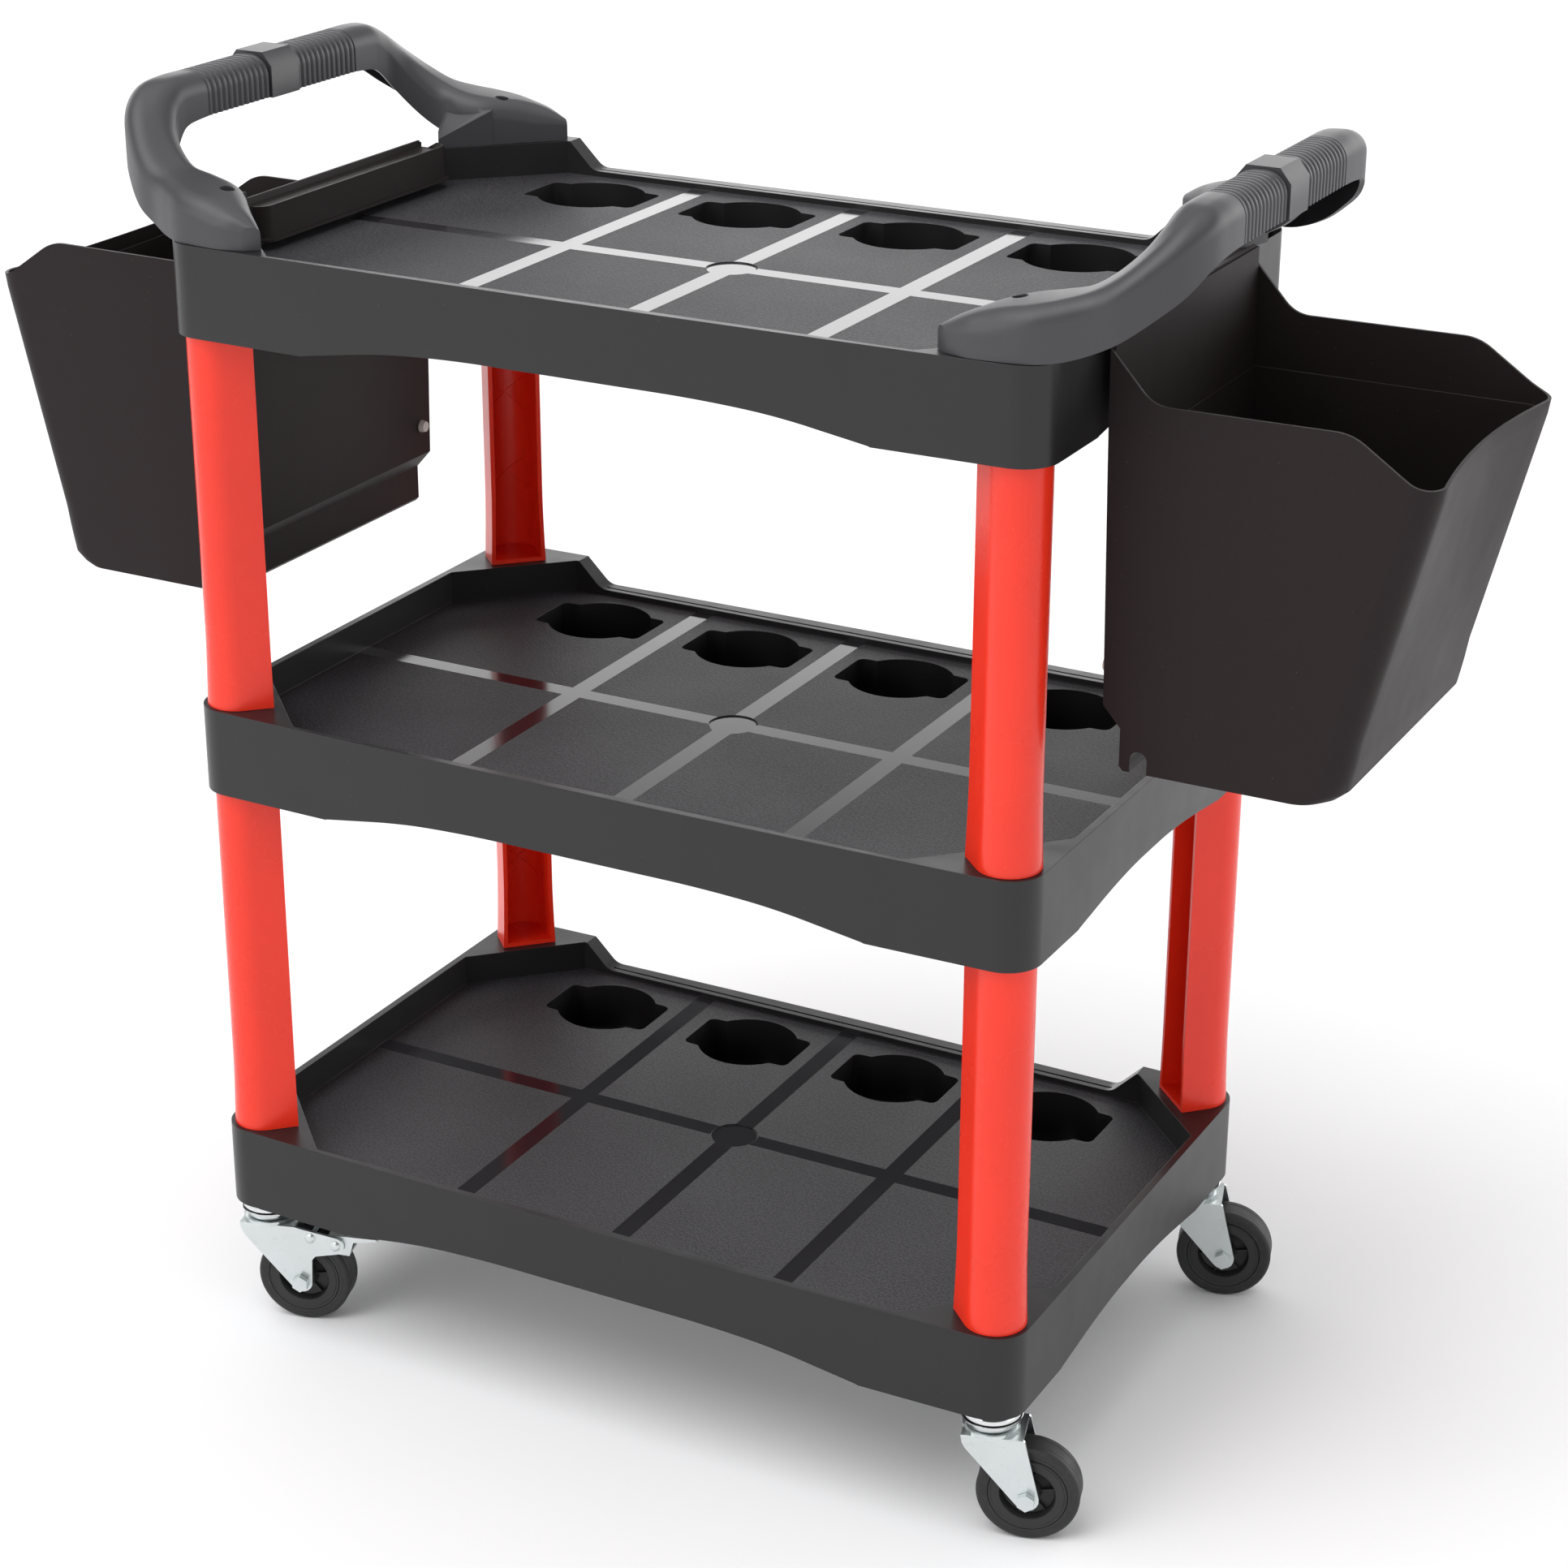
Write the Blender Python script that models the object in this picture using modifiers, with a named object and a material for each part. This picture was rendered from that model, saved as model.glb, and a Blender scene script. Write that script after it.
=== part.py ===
"""Three-shelf tool cart with two end bins, two push handles and four casters.

Metres, +Z up.  The origin is on the ground under the middle of the cart.
+X runs along the long side, +Y towards the bottle-pocket side of the shelves.
"""

import math

import bmesh
import bpy
from mathutils import Matrix, Vector

# ---- shelves -------------------------------------------------------------
FLOOR_Z = {"bottom": 0.146, "middle": 0.494, "top": 0.842}
HALF_LENGTH = 0.3387
HALF_WIDTH = 0.2150
SIDE_BOW = 0.0035
CORNER_RADIUS = 0.0260
FLOOR_THICKNESS = 0.0040
WALL = 0.0026
END_WALL = 0.0060
RIM_HEIGHT = 0.0255
BACK_LIP_HEIGHT = 0.0045
BACK_LIP_DEPTH = 0.0140
SKIRT_CORNER = 0.0410
SKIRT_LONG_MID = 0.0265
SKIRT_END_MID = 0.0300
PLATFORM_SUM = 0.4595
PLATFORM_SKIN = 0.0030
RAMP_TOP_X = 0.2560
CELL_PITCH = 0.1359
POCKET_Y = 0.1463
POCKET_RADIUS = 0.0415
POCKET_HALF_X = 0.0479
POCKET_HALF_Y = 0.0244
POCKET_EAR_RADIUS = 0.0060
POCKET_DEPTH = 0.0380
POCKET_WALL = 0.0024
DISC_RADIUS = 0.0185
DISC_DEPTH = 0.0010

# ---- legs and casters ----------------------------------------------------
CORNER_X = 0.3127
CORNER_Y = 0.1890
LEG_RADIUS = 0.0228
LEG_WAIST = 0.0212
LEG_INWARD = 0.0225
LEG_WALL = 0.0035
LEG_FLARE = 0.0600
GAP = 0.0003

CASTER_YAW = math.radians(17.0)
WHEEL_RADIUS = 0.0375
WHEEL_WIDTH = 0.0240
CASTER_TRAIL = 0.0285
HUB_RADIUS = 0.0284
HUB_RECESS = 0.0203
AXLE_RADIUS = 0.0040
FORK_HALF_WIDTH = 0.0180
FORK_SHEET = 0.0024
FORK_TOP_Z = 0.0860
RACE_RADIUS = 0.0225
BRAKE_PIVOT = (0.0577, 0.0725)
BRAKE_RIVET = (0.0375, 0.0775)

# ---- handles -------------------------------------------------------------
GRIP_X = 0.3990
GRIP_TOP = 0.1178
GRIP_WIDTH = 0.0365
GRIP_SIDE = 0.0310
GRIP_CROWN = 0.0150
BLOCK_HALF = 0.0170
HANDLE_WALL = 0.0034
SCREW_X = 0.3035
SCREW_Y = 0.1780
SCREW_HOLE = 0.0046

# ---- bins ----------------------------------------------------------------
BIN_BACK_X = 0.3450
BIN_LEAN = 0.0225
BIN_HALF_Y = 0.1285
BIN_WALL = 0.0028
BIN_CORNER = 0.0200
BIN_RAISED = 0.0382
BIN_BOW = 0.0095
BUMPER_Y = 0.1165

BLACK = (0.020, 0.019, 0.021, 1.0)
BIN_BLACK = (0.015, 0.013, 0.014, 1.0)
RED = (0.760, 0.030, 0.018, 1.0)
ZINC = (0.620, 0.660, 0.660, 1.0)
RUBBER = (0.012, 0.012, 0.013, 1.0)
PALE = (0.600, 0.580, 0.560, 1.0)


# ---- scene helpers -------------------------------------------------------
def clear_scene():
    for obj in list(bpy.data.objects):
        bpy.data.objects.remove(obj, do_unlink=True)


def new_collection(name):
    collection = bpy.data.collections.new(name)
    bpy.context.scene.collection.children.link(collection)
    return collection


def material(name, colour, roughness, metallic=0.0):
    mat = bpy.data.materials.new(name)
    mat.use_nodes = True
    shader = mat.node_tree.nodes["Principled BSDF"]
    shader.inputs["Base Color"].default_value = colour
    shader.inputs["Roughness"].default_value = roughness
    shader.inputs["Metallic"].default_value = metallic
    mat.diffuse_color = colour
    return mat


def add_object(name, mesh):
    obj = bpy.data.objects.new(name, mesh)
    parts.objects.link(obj)
    return obj


def from_bmesh(name, bm):
    bmesh.ops.recalc_face_normals(bm, faces=bm.faces)
    mesh = bpy.data.meshes.new(name)
    bm.to_mesh(mesh)
    bm.free()
    return add_object(name, mesh)


def plate(name, outline, low, high):
    """A flat outline in X and Y, filled and raised from low to high."""
    curve = bpy.data.curves.new(name, "CURVE")
    curve.dimensions = "2D"
    curve.fill_mode = "BOTH"
    curve.extrude = (high - low) / 2.0
    spline = curve.splines.new("POLY")
    spline.points.add(len(outline) - 1)
    for point, (x, y) in zip(spline.points, outline):
        point.co = (x, y, 0.0, 1.0)
    spline.use_cyclic_u = True
    source = bpy.data.objects.new(name + "_outline", curve)
    parts.objects.link(source)
    source.location.z = (high + low) / 2.0
    bpy.context.view_layer.update()
    seen = source.evaluated_get(bpy.context.evaluated_depsgraph_get())
    mesh = bpy.data.meshes.new_from_object(seen)
    mesh.transform(source.matrix_world)
    bpy.data.objects.remove(source, do_unlink=True)
    bm = bmesh.new()
    bm.from_mesh(mesh)
    bpy.data.meshes.remove(mesh)
    bmesh.ops.remove_doubles(bm, verts=bm.verts, dist=0.00001)
    return from_bmesh(name, bm)


def upright(name, outline, low, high, along_x=False):
    """A flat outline of (across, z) pairs, raised along Y, or along X."""
    obj = plate(name, outline, low, high)
    turn = Matrix(((1, 0, 0, 0), (0, 0, 1, 0), (0, 1, 0, 0), (0, 0, 0, 1)))
    if along_x:
        turn = Matrix(((0, 0, 1, 0), (1, 0, 0, 0), (0, 1, 0, 0), (0, 0, 0, 1)))
    obj.data.transform(turn)
    if turn.determinant() < 0:
        obj.data.flip_normals()
    return obj


def lofted(name, rings):
    """Sections with the same number of points, skinned and closed at both ends."""
    bm = bmesh.new()
    loops = [[bm.verts.new(p) for p in ring] for ring in rings]
    count = len(loops[0])
    for near, far in zip(loops, loops[1:]):
        for i in range(count):
            j = (i + 1) % count
            bm.faces.new((near[i], near[j], far[j], far[i]))
    bm.faces.new(list(reversed(loops[0])))
    bm.faces.new(loops[-1])
    bmesh.ops.triangulate(bm, faces=bm.faces)
    return from_bmesh(name, bm)


def cylinder(name, radius, low, high, sides=24, at=(0.0, 0.0)):
    bm = bmesh.new()
    bmesh.ops.create_cone(bm, cap_ends=True, segments=sides, radius1=radius,
                          radius2=radius, depth=high - low)
    bmesh.ops.translate(bm, verts=bm.verts, vec=(at[0], at[1], (high + low) / 2.0))
    return from_bmesh(name, bm)


def turned(name, profile, steps=24):
    """A profile of (radius, z) pairs turned about Z; closed unless on the axis."""
    bm = bmesh.new()
    verts = [bm.verts.new((r, 0.0, z)) for r, z in profile]
    for first, second in zip(verts, verts[1:]):
        bm.edges.new((first, second))
    if profile[0][0] > 0.0:
        bm.edges.new((verts[-1], verts[0]))
    mesh = bpy.data.meshes.new(name)
    bm.to_mesh(mesh)
    bm.free()
    obj = add_object(name, mesh)
    screw = obj.modifiers.new("turn", "SCREW")
    screw.axis = "Z"
    screw.steps = steps
    screw.render_steps = steps
    screw.use_merge_vertices = True
    screw.merge_threshold = 0.00001
    obj = bake(obj)
    bm = bmesh.new()
    bm.from_mesh(obj.data)
    bmesh.ops.recalc_face_normals(bm, faces=bm.faces)
    bm.to_mesh(obj.data)
    bm.free()
    return obj


def bake(obj):
    """The object with its modifiers applied."""
    bpy.context.view_layer.update()
    seen = obj.evaluated_get(bpy.context.evaluated_depsgraph_get())
    mesh = bpy.data.meshes.new_from_object(seen)
    obj.modifiers.clear()
    obj.data = mesh
    return obj


def combine(obj, other, operation):
    step = obj.modifiers.new(operation.lower(), "BOOLEAN")
    step.object = other
    step.operation = operation
    step.solver = "EXACT"
    bake(obj)
    bpy.data.objects.remove(other, do_unlink=True)
    return obj


def cut(obj, cutter):
    return combine(obj, cutter, "DIFFERENCE")


def join(obj, other):
    return combine(obj, other, "UNION")


def finish(obj, mat, angle=35.0):
    obj.data.materials.clear()
    obj.data.materials.append(mat)
    obj.data.shade_smooth()
    obj.data.set_sharp_from_angle(angle=math.radians(angle))
    return obj


def place(obj, matrix):
    """Move the mesh itself, so that mirrored copies keep faces pointing out."""
    obj.data.transform(matrix)
    if matrix.determinant() < 0:
        obj.data.flip_normals()
    return obj


def set_origin(obj, point):
    obj.data.transform(Matrix.Translation(-Vector(point)))
    obj.location = point
    return obj


def arc(cx, cy, radius, start, end, count):
    points = []
    for i in range(count + 1):
        angle = math.radians(start + (end - start) * i / count)
        points.append((cx + radius * math.cos(angle), cy + radius * math.sin(angle)))
    return points


# ---- shelves -------------------------------------------------------------
def shelf_outline(inset):
    """Rounded rectangle whose long sides bow out a little at the middle."""
    radius = max(CORNER_RADIUS - inset, 0.002)
    cx = HALF_LENGTH - CORNER_RADIUS
    cy = HALF_WIDTH - CORNER_RADIUS
    points = []
    for quarter, (sx, sy) in enumerate(((1, 1), (-1, 1), (-1, -1), (1, -1))):
        points += arc(sx * cx, sy * cy, radius, 90 * quarter, 90 * quarter + 90, 5)
        if quarter in (0, 2):
            for i in range(1, 6):
                x = sx * cx * (1.0 - i / 3.0)
                bow = SIDE_BOW * (1.0 - (x / cx) ** 2)
                points.append((x, sy * (HALF_WIDTH - inset + bow)))
    return points


def octagon(end_x, front_y, back_y, corner_sum):
    """Inside of the tray: a rectangle with its corners cut at 45 degrees."""
    points = []
    for sx, sy, y in ((1, 1, back_y), (-1, 1, back_y), (-1, -1, front_y), (1, -1, front_y)):
        side = (sx * end_x, sy * (corner_sum - end_x))
        edge = (sx * (corner_sum - y), sy * y)
        pair = (side, edge) if sx * sy > 0 else (edge, side)
        points += pair
    return points


def pocket_outline(grow):
    """Circle with four small ears, one at each corner of a low rectangle."""
    radius = POCKET_RADIUS + grow
    ear = POCKET_EAR_RADIUS + grow
    ear_x = POCKET_HALF_X - POCKET_EAR_RADIUS
    ear_y = POCKET_HALF_Y - POCKET_EAR_RADIUS
    meet = math.degrees(math.atan2(POCKET_HALF_Y + grow + 0.003, 0.0365 + grow))
    quarter = arc(ear_x, ear_y, ear, 0, 90, 3)
    quarter += arc(0.0, 0.0, radius, meet, 90, 4)
    points = list(quarter)
    points += [(-x, y) for x, y in reversed(quarter[1:-1])]
    points += [(-x, -y) for x, y in quarter]
    points += [(x, -y) for x, y in reversed(quarter[1:-1])]
    return points


def shifted(points, dx, dy):
    return [(x + dx, y + dy) for x, y in points]


def make_shelf(name, floor, screw_holes):
    body = plate(name, shelf_outline(0.0), floor - SKIRT_CORNER, floor + RIM_HEIGHT)
    inner_end = HALF_LENGTH - END_WALL
    inner_front = HALF_WIDTH - WALL
    inner_back = HALF_WIDTH - BACK_LIP_DEPTH
    tray = octagon(inner_end, inner_front, inner_back, PLATFORM_SUM)
    body = cut(body, plate("tray", tray, floor, floor + 0.05))

    lip = floor + BACK_LIP_HEIGHT
    foot_x = RAMP_TOP_X - (RIM_HEIGHT - BACK_LIP_HEIGHT)
    ramp = [(-foot_x, lip), (foot_x, lip), (RAMP_TOP_X + 0.02, lip + 0.041)]
    ramp.append((-RAMP_TOP_X - 0.02, lip + 0.041))
    body = cut(body, upright("ramp", ramp, inner_back - 0.001, 0.26))

    hollow = shelf_outline(WALL)
    body = cut(body, plate("under", hollow, floor - 0.06, floor - FLOOR_THICKNESS))
    for sx in (-1, 1):
        for sy in (-1, 1):
            edge = PLATFORM_SUM + PLATFORM_SKIN * 1.5
            near = edge - CORNER_Y - 0.0195
            deep = edge - CORNER_X - 0.0195
            corner = [(near, CORNER_Y + 0.0195), (CORNER_X + 0.0195, deep)]
            corner += arc(CORNER_X, CORNER_Y, CORNER_RADIUS - WALL, 0, 90, 5)
            corner = [(sx * x, sy * y) for x, y in corner]
            top = floor + RIM_HEIGHT - PLATFORM_SKIN
            body = cut(body, plate("socket", corner, floor - 0.02, top))

    drop = SKIRT_CORNER
    arch = [(-0.222, -drop - 0.01), (-0.222, -drop), (-0.150, -SKIRT_LONG_MID - 0.003),
            (-0.090, -SKIRT_LONG_MID), (0.090, -SKIRT_LONG_MID),
            (0.150, -SKIRT_LONG_MID - 0.003), (0.222, -drop), (0.222, -drop - 0.01)]
    arch = [(x, floor + z) for x, z in arch]
    body = cut(body, upright("long_arch", arch, -0.26, 0.26))
    arch = [(-0.130, -drop - 0.01), (-0.130, -drop), (-0.070, -SKIRT_END_MID - 0.002),
            (-0.030, -SKIRT_END_MID), (0.030, -SKIRT_END_MID),
            (0.070, -SKIRT_END_MID - 0.002), (0.130, -drop), (0.130, -drop - 0.01)]
    arch = [(y, floor + z) for y, z in arch]
    body = cut(body, upright("end_arch", arch, -0.38, 0.38, along_x=True))

    for i in range(4):
        x = CELL_PITCH * (i - 1.5)
        cup = shifted(pocket_outline(POCKET_WALL), x, POCKET_Y)
        body = join(body, plate("cup", cup, floor - POCKET_DEPTH - POCKET_WALL, floor - 0.0005))
    for i in range(4):
        x = CELL_PITCH * (i - 1.5)
        hole = shifted(pocket_outline(0.0), x, POCKET_Y)
        body = cut(body, plate("hole", hole, floor - POCKET_DEPTH, floor + 0.01))

    body = cut(body, cylinder("disc", DISC_RADIUS, floor - DISC_DEPTH, floor + 0.01, 24))
    if screw_holes:
        for sx in (-1, 1):
            for sy in (-1, 1):
                at = (sx * SCREW_X, sy * SCREW_Y)
                hole = cylinder("screw_hole", 0.0026, floor, floor + 0.04, 12, at)
                body = cut(body, hole)
    return finish(body, shelf_black)


# ---- legs ----------------------------------------------------------------
def leg_radius(z, low, high):
    """Straight in the middle, flared over the last stretch at each end."""
    near = min(z - low, high - z)
    flare = max(0.0, 1.0 - near / LEG_FLARE)
    return LEG_WAIST + (LEG_RADIUS - LEG_WAIST) * flare ** 1.6


def leg_section(radius, z, mouth, count):
    """D-shaped section, its nose pointing along +X."""
    points = [(mouth, -radius)] + arc(0, 0, radius, -90, 90, count) + [(mouth, radius)]
    return [(x, y, z) for x, y in points]


def make_leg(name, low, high, sx, sy, screw_hole):
    """A channel open towards the middle of the cart, with two inner shelves."""
    stops = (low, low + 0.5 * LEG_FLARE, low + LEG_FLARE,
             high - LEG_FLARE, high - 0.5 * LEG_FLARE, high)
    rings = [leg_section(leg_radius(z, low, high), z, -LEG_INWARD, 8) for z in stops]
    leg = lofted(name, rings)
    first = low + 0.36 * (high - low)
    second = low + 0.64 * (high - low)
    bays = ((low + LEG_WALL, low + LEG_FLARE, first), (first + 0.003, second),
            (second + 0.003, high - LEG_FLARE, high - LEG_WALL))
    for bay in bays:
        rings = []
        for z in bay:
            radius = leg_radius(z, low, high) - LEG_WALL
            rings.append(leg_section(radius, z, -LEG_INWARD - 0.01, 6))
        leg = cut(leg, lofted("bay", rings))
    place(leg, Matrix.Rotation(math.radians(45.0), 4, "Z"))
    place(leg, Matrix.Diagonal((sx, sy, 1.0, 1.0)))
    place(leg, Matrix.Translation((sx * CORNER_X, sy * CORNER_Y, 0.0)))
    if screw_hole:
        at = (sx * SCREW_X, sy * SCREW_Y)
        cut(leg, cylinder("screw_hole", 0.0026, high - 0.01, high + 0.01, 12, at))
    return finish(leg, leg_red)


# ---- casters -------------------------------------------------------------
def hexagon(name, across, low, high, at):
    """A hex prism lying along Y, at (x, z)."""
    nut = cylinder(name, across / math.sqrt(3.0), low, high, 6)
    place(nut, Matrix.Rotation(math.radians(-90.0), 4, "X"))
    return place(nut, Matrix.Translation((at[0], 0.0, at[1])))


def rod(name, radius, low, high, at, sides=12):
    """A round rod lying along Y, at (x, z)."""
    bar = cylinder(name, radius, low, high, sides)
    place(bar, Matrix.Rotation(math.radians(-90.0), 4, "X"))
    return place(bar, Matrix.Translation((at[0], 0.0, at[1])))


def fork_side(braked):
    """Outline of one fork cheek in X and Z."""
    ax, az = CASTER_TRAIL, WHEEL_RADIUS
    points = [(-0.0195, FORK_TOP_Z), (-0.0187, FORK_TOP_Z - 0.006), (-0.0165, FORK_TOP_Z - 0.0105)]
    points += arc(ax, az, 0.0090, 215, 368, 7)
    if braked:
        px, pz = BRAKE_PIVOT
        points += [(ax + 0.0098, 0.058), (ax + 0.0125, 0.0615)]
        points += arc(px, pz, 0.0072, -78, 72, 5)
        points.append((0.030, FORK_TOP_Z - 0.0012))
    else:
        points.append((0.0262, FORK_TOP_Z - 0.0010))
    points.append((0.0250, FORK_TOP_Z))
    return points


def make_fork(name, braked):
    outer = FORK_HALF_WIDTH
    inner = outer - FORK_SHEET
    side = fork_side(braked)
    fork = upright(name, side, -outer, -inner)
    fork = join(fork, upright("cheek", side, inner, outer))
    crown = [(-0.0195, -outer), (0.0250, -outer), (0.0250, outer), (-0.0195, outer)]
    fork = join(fork, plate("crown", crown, FORK_TOP_Z - FORK_SHEET, FORK_TOP_Z))
    collar = cylinder("collar", 0.0208, FORK_TOP_Z - 0.001, FORK_TOP_Z + 0.0025, 20)
    fork = join(fork, collar)
    axle = rod("bore", AXLE_RADIUS + GAP, -0.03, 0.03, (CASTER_TRAIL, WHEEL_RADIUS))
    fork = cut(fork, axle)
    fork = cut(fork, cylinder("kingpin_bore", 0.0052, 0.05, 0.10, 16))
    if braked:
        fork = cut(fork, rod("pivot_bore", 0.0025 + GAP, -0.03, 0.03, BRAKE_PIVOT, 12))
        fork = cut(fork, rod("rivet_bore", 0.0018 + GAP, -0.03, 0.03, BRAKE_RIVET, 12))
    return fork


def make_race(name, top):
    """Bearing cup with its king pin and the stem up into the shelf corner."""
    z = FORK_TOP_Z + 0.0028
    profile = [(0.0, top), (0.0125, top), (0.0125, z + 0.0125), (0.0205, z + 0.0125),
               (RACE_RADIUS, z + 0.0085), (RACE_RADIUS - 0.0010, z + 0.0032),
               (RACE_RADIUS - 0.0060, z), (0.0048, z), (0.0048, FORK_TOP_Z - 0.0045),
               (0.0085, FORK_TOP_Z - 0.0045), (0.0075, FORK_TOP_Z - 0.0078),
               (0.0, FORK_TOP_Z - 0.0082)]
    return turned(name, profile, 20)


def make_tyre(name):
    half = WHEEL_WIDTH / 2.0
    r = WHEEL_RADIUS
    inner = HUB_RADIUS + GAP
    profile = [(inner, half - 0.0010), (r - 0.0028, half), (r, half - 0.0040),
               (r, 0.0040 - half), (r - 0.0028, -half), (inner, 0.0010 - half)]
    return turned(name, profile, 32)


def make_hub(name):
    half = WHEEL_WIDTH / 2.0
    bore = AXLE_RADIUS + GAP
    rim = half - 0.0004
    profile = [(bore, half + 0.0022), (0.0085, half + 0.0022), (0.0090, 0.0035),
               (HUB_RECESS - 0.0010, 0.0035), (HUB_RECESS, rim), (HUB_RADIUS, rim),
               (HUB_RADIUS, -rim), (HUB_RECESS, -rim), (HUB_RECESS - 0.0010, -0.0035),
               (0.0090, -0.0035), (0.0085, -half - 0.0022), (bore, -half - 0.0022)]
    return turned(name, profile, 20)


def make_bolt(name):
    """Axle bolt along Y: hex head on one side, threaded end on the other."""
    outer = FORK_HALF_WIDTH
    at = (CASTER_TRAIL, WHEEL_RADIUS)
    bolt = rod(name, AXLE_RADIUS, -outer - 0.0020, outer + 0.0085, at)
    return join(bolt, hexagon("head", 0.0118, -outer - 0.0052, -outer - GAP, at))


def make_nut(name):
    outer = FORK_HALF_WIDTH
    at = (CASTER_TRAIL, WHEEL_RADIUS)
    nut = hexagon(name, 0.0118, outer + GAP, outer + 0.0062, at)
    return cut(nut, rod("bore", AXLE_RADIUS + GAP, outer - 0.001, outer + 0.02, at))


def make_rivet(name, radius, head, at, low, high):
    rivet = rod(name, radius, low, high, at, 10)
    for face, sign in ((high, 1), (low, -1)):
        button = turned("button", [(0.0, 0.0016), (head * 0.62, 0.0012), (head, 0.0),
                                   (0.0, 0.0)], 10)
        place(button, Matrix.Rotation(math.radians(-90.0 * sign), 4, "X"))
        place(button, Matrix.Translation((at[0], face, at[1])))
        rivet = join(rivet, button)
    return rivet


def make_pedal(name):
    """Brake pedal: a flat tab, two cheeks round the pivot and a shoe."""
    px, pz = BRAKE_PIVOT
    wide = FORK_HALF_WIDTH - FORK_SHEET - 0.0005
    cheek = [(px - 0.0060, pz + 0.0078), (px - 0.0072, pz - 0.0020), (px + 0.0010, pz - 0.0085),
             (px + 0.0105, pz - 0.0090), (px + 0.0140, pz + 0.0030), (px + 0.0330, pz + 0.0064),
             (px + 0.0330, pz + 0.0078)]
    pedal = upright(name, cheek, -wide, -wide + 0.0016)
    pedal = join(pedal, upright("cheek", cheek, wide - 0.0016, wide))
    tab = [(px - 0.0060, -wide), (px + 0.0330, -wide), (px + 0.0350, -wide + 0.004),
           (px + 0.0350, wide - 0.004), (px + 0.0330, wide), (px - 0.0060, wide)]
    pedal = join(pedal, plate("tab", tab, pz + 0.0062, pz + 0.0078))
    pad = [(px - 0.0020, pz - 0.0064), (px + 0.0010, pz - 0.0085), (px + 0.0105, pz - 0.0090),
           (px + 0.0102, pz - 0.0072), (px + 0.0020, pz - 0.0066)]
    pedal = join(pedal, upright("pad", pad, -wide + 0.0004, wide - 0.0004))
    return cut(pedal, rod("bore", 0.0025 + GAP, -0.03, 0.03, BRAKE_PIVOT, 12))


def make_caster(label, sx, sy, braked):
    stem_top = FLOOR_Z["bottom"] + RIM_HEIGHT - PLATFORM_SKIN - GAP
    spin = Matrix.Translation((sx * CORNER_X, sy * CORNER_Y, 0.0))
    yawed = spin @ Matrix.Rotation(CASTER_YAW, 4, "Z")
    swivel = (sx * CORNER_X, sy * CORNER_Y, FORK_TOP_Z)
    wheel_axis = yawed @ Vector((CASTER_TRAIL, 0.0, WHEEL_RADIUS))
    lay = Matrix.Translation((CASTER_TRAIL, 0.0, WHEEL_RADIUS))
    lay = yawed @ lay @ Matrix.Rotation(math.radians(90.0), 4, "X")

    finish(place(make_race("race_" + label, stem_top), yawed), chrome)
    set_origin(finish(place(make_fork("fork_" + label, braked), yawed), zinc), swivel)
    set_origin(finish(place(make_tyre("tyre_" + label), lay), rubber), wheel_axis)
    set_origin(finish(place(make_hub("hub_" + label), lay), hub_black), wheel_axis)
    set_origin(finish(place(make_bolt("axle_bolt_" + label), yawed), zinc), swivel)
    set_origin(finish(place(make_nut("axle_nut_" + label), yawed), zinc), swivel)
    if braked:
        outer = FORK_HALF_WIDTH + GAP
        pin = make_rivet("brake_pin_" + label, 0.0025, 0.0044, BRAKE_PIVOT, -outer, outer)
        set_origin(finish(place(pin, yawed), zinc), swivel)
        stay = make_rivet("brake_rivet_" + label, 0.0018, 0.0044, BRAKE_RIVET, -outer, outer)
        set_origin(finish(place(stay, yawed), zinc), swivel)
        hinge = yawed @ Vector((BRAKE_PIVOT[0], 0.0, BRAKE_PIVOT[1]))
        set_origin(finish(place(make_pedal("brake_pedal_" + label), yawed), zinc), hinge)


# ---- handles -------------------------------------------------------------
def smooth_path(stops, count):
    """Catmull-Rom curve through the stops; each stop is a tuple of numbers."""
    points = []
    padded = [stops[0]] + list(stops) + [stops[-1]]
    for i in range(len(stops) - 1):
        a, b, c, d = padded[i:i + 4]
        for k in range(count):
            t = k / count
            value = []
            for p, q, r, s in zip(a, b, c, d):
                value.append(0.5 * (2 * q + (r - p) * t + (2 * p - 5 * q + 4 * r - s) * t * t
                                    + (3 * q - p - 3 * r + s) * t ** 3))
            points.append(tuple(value))
    points.append(tuple(stops[-1]))
    return points


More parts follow.
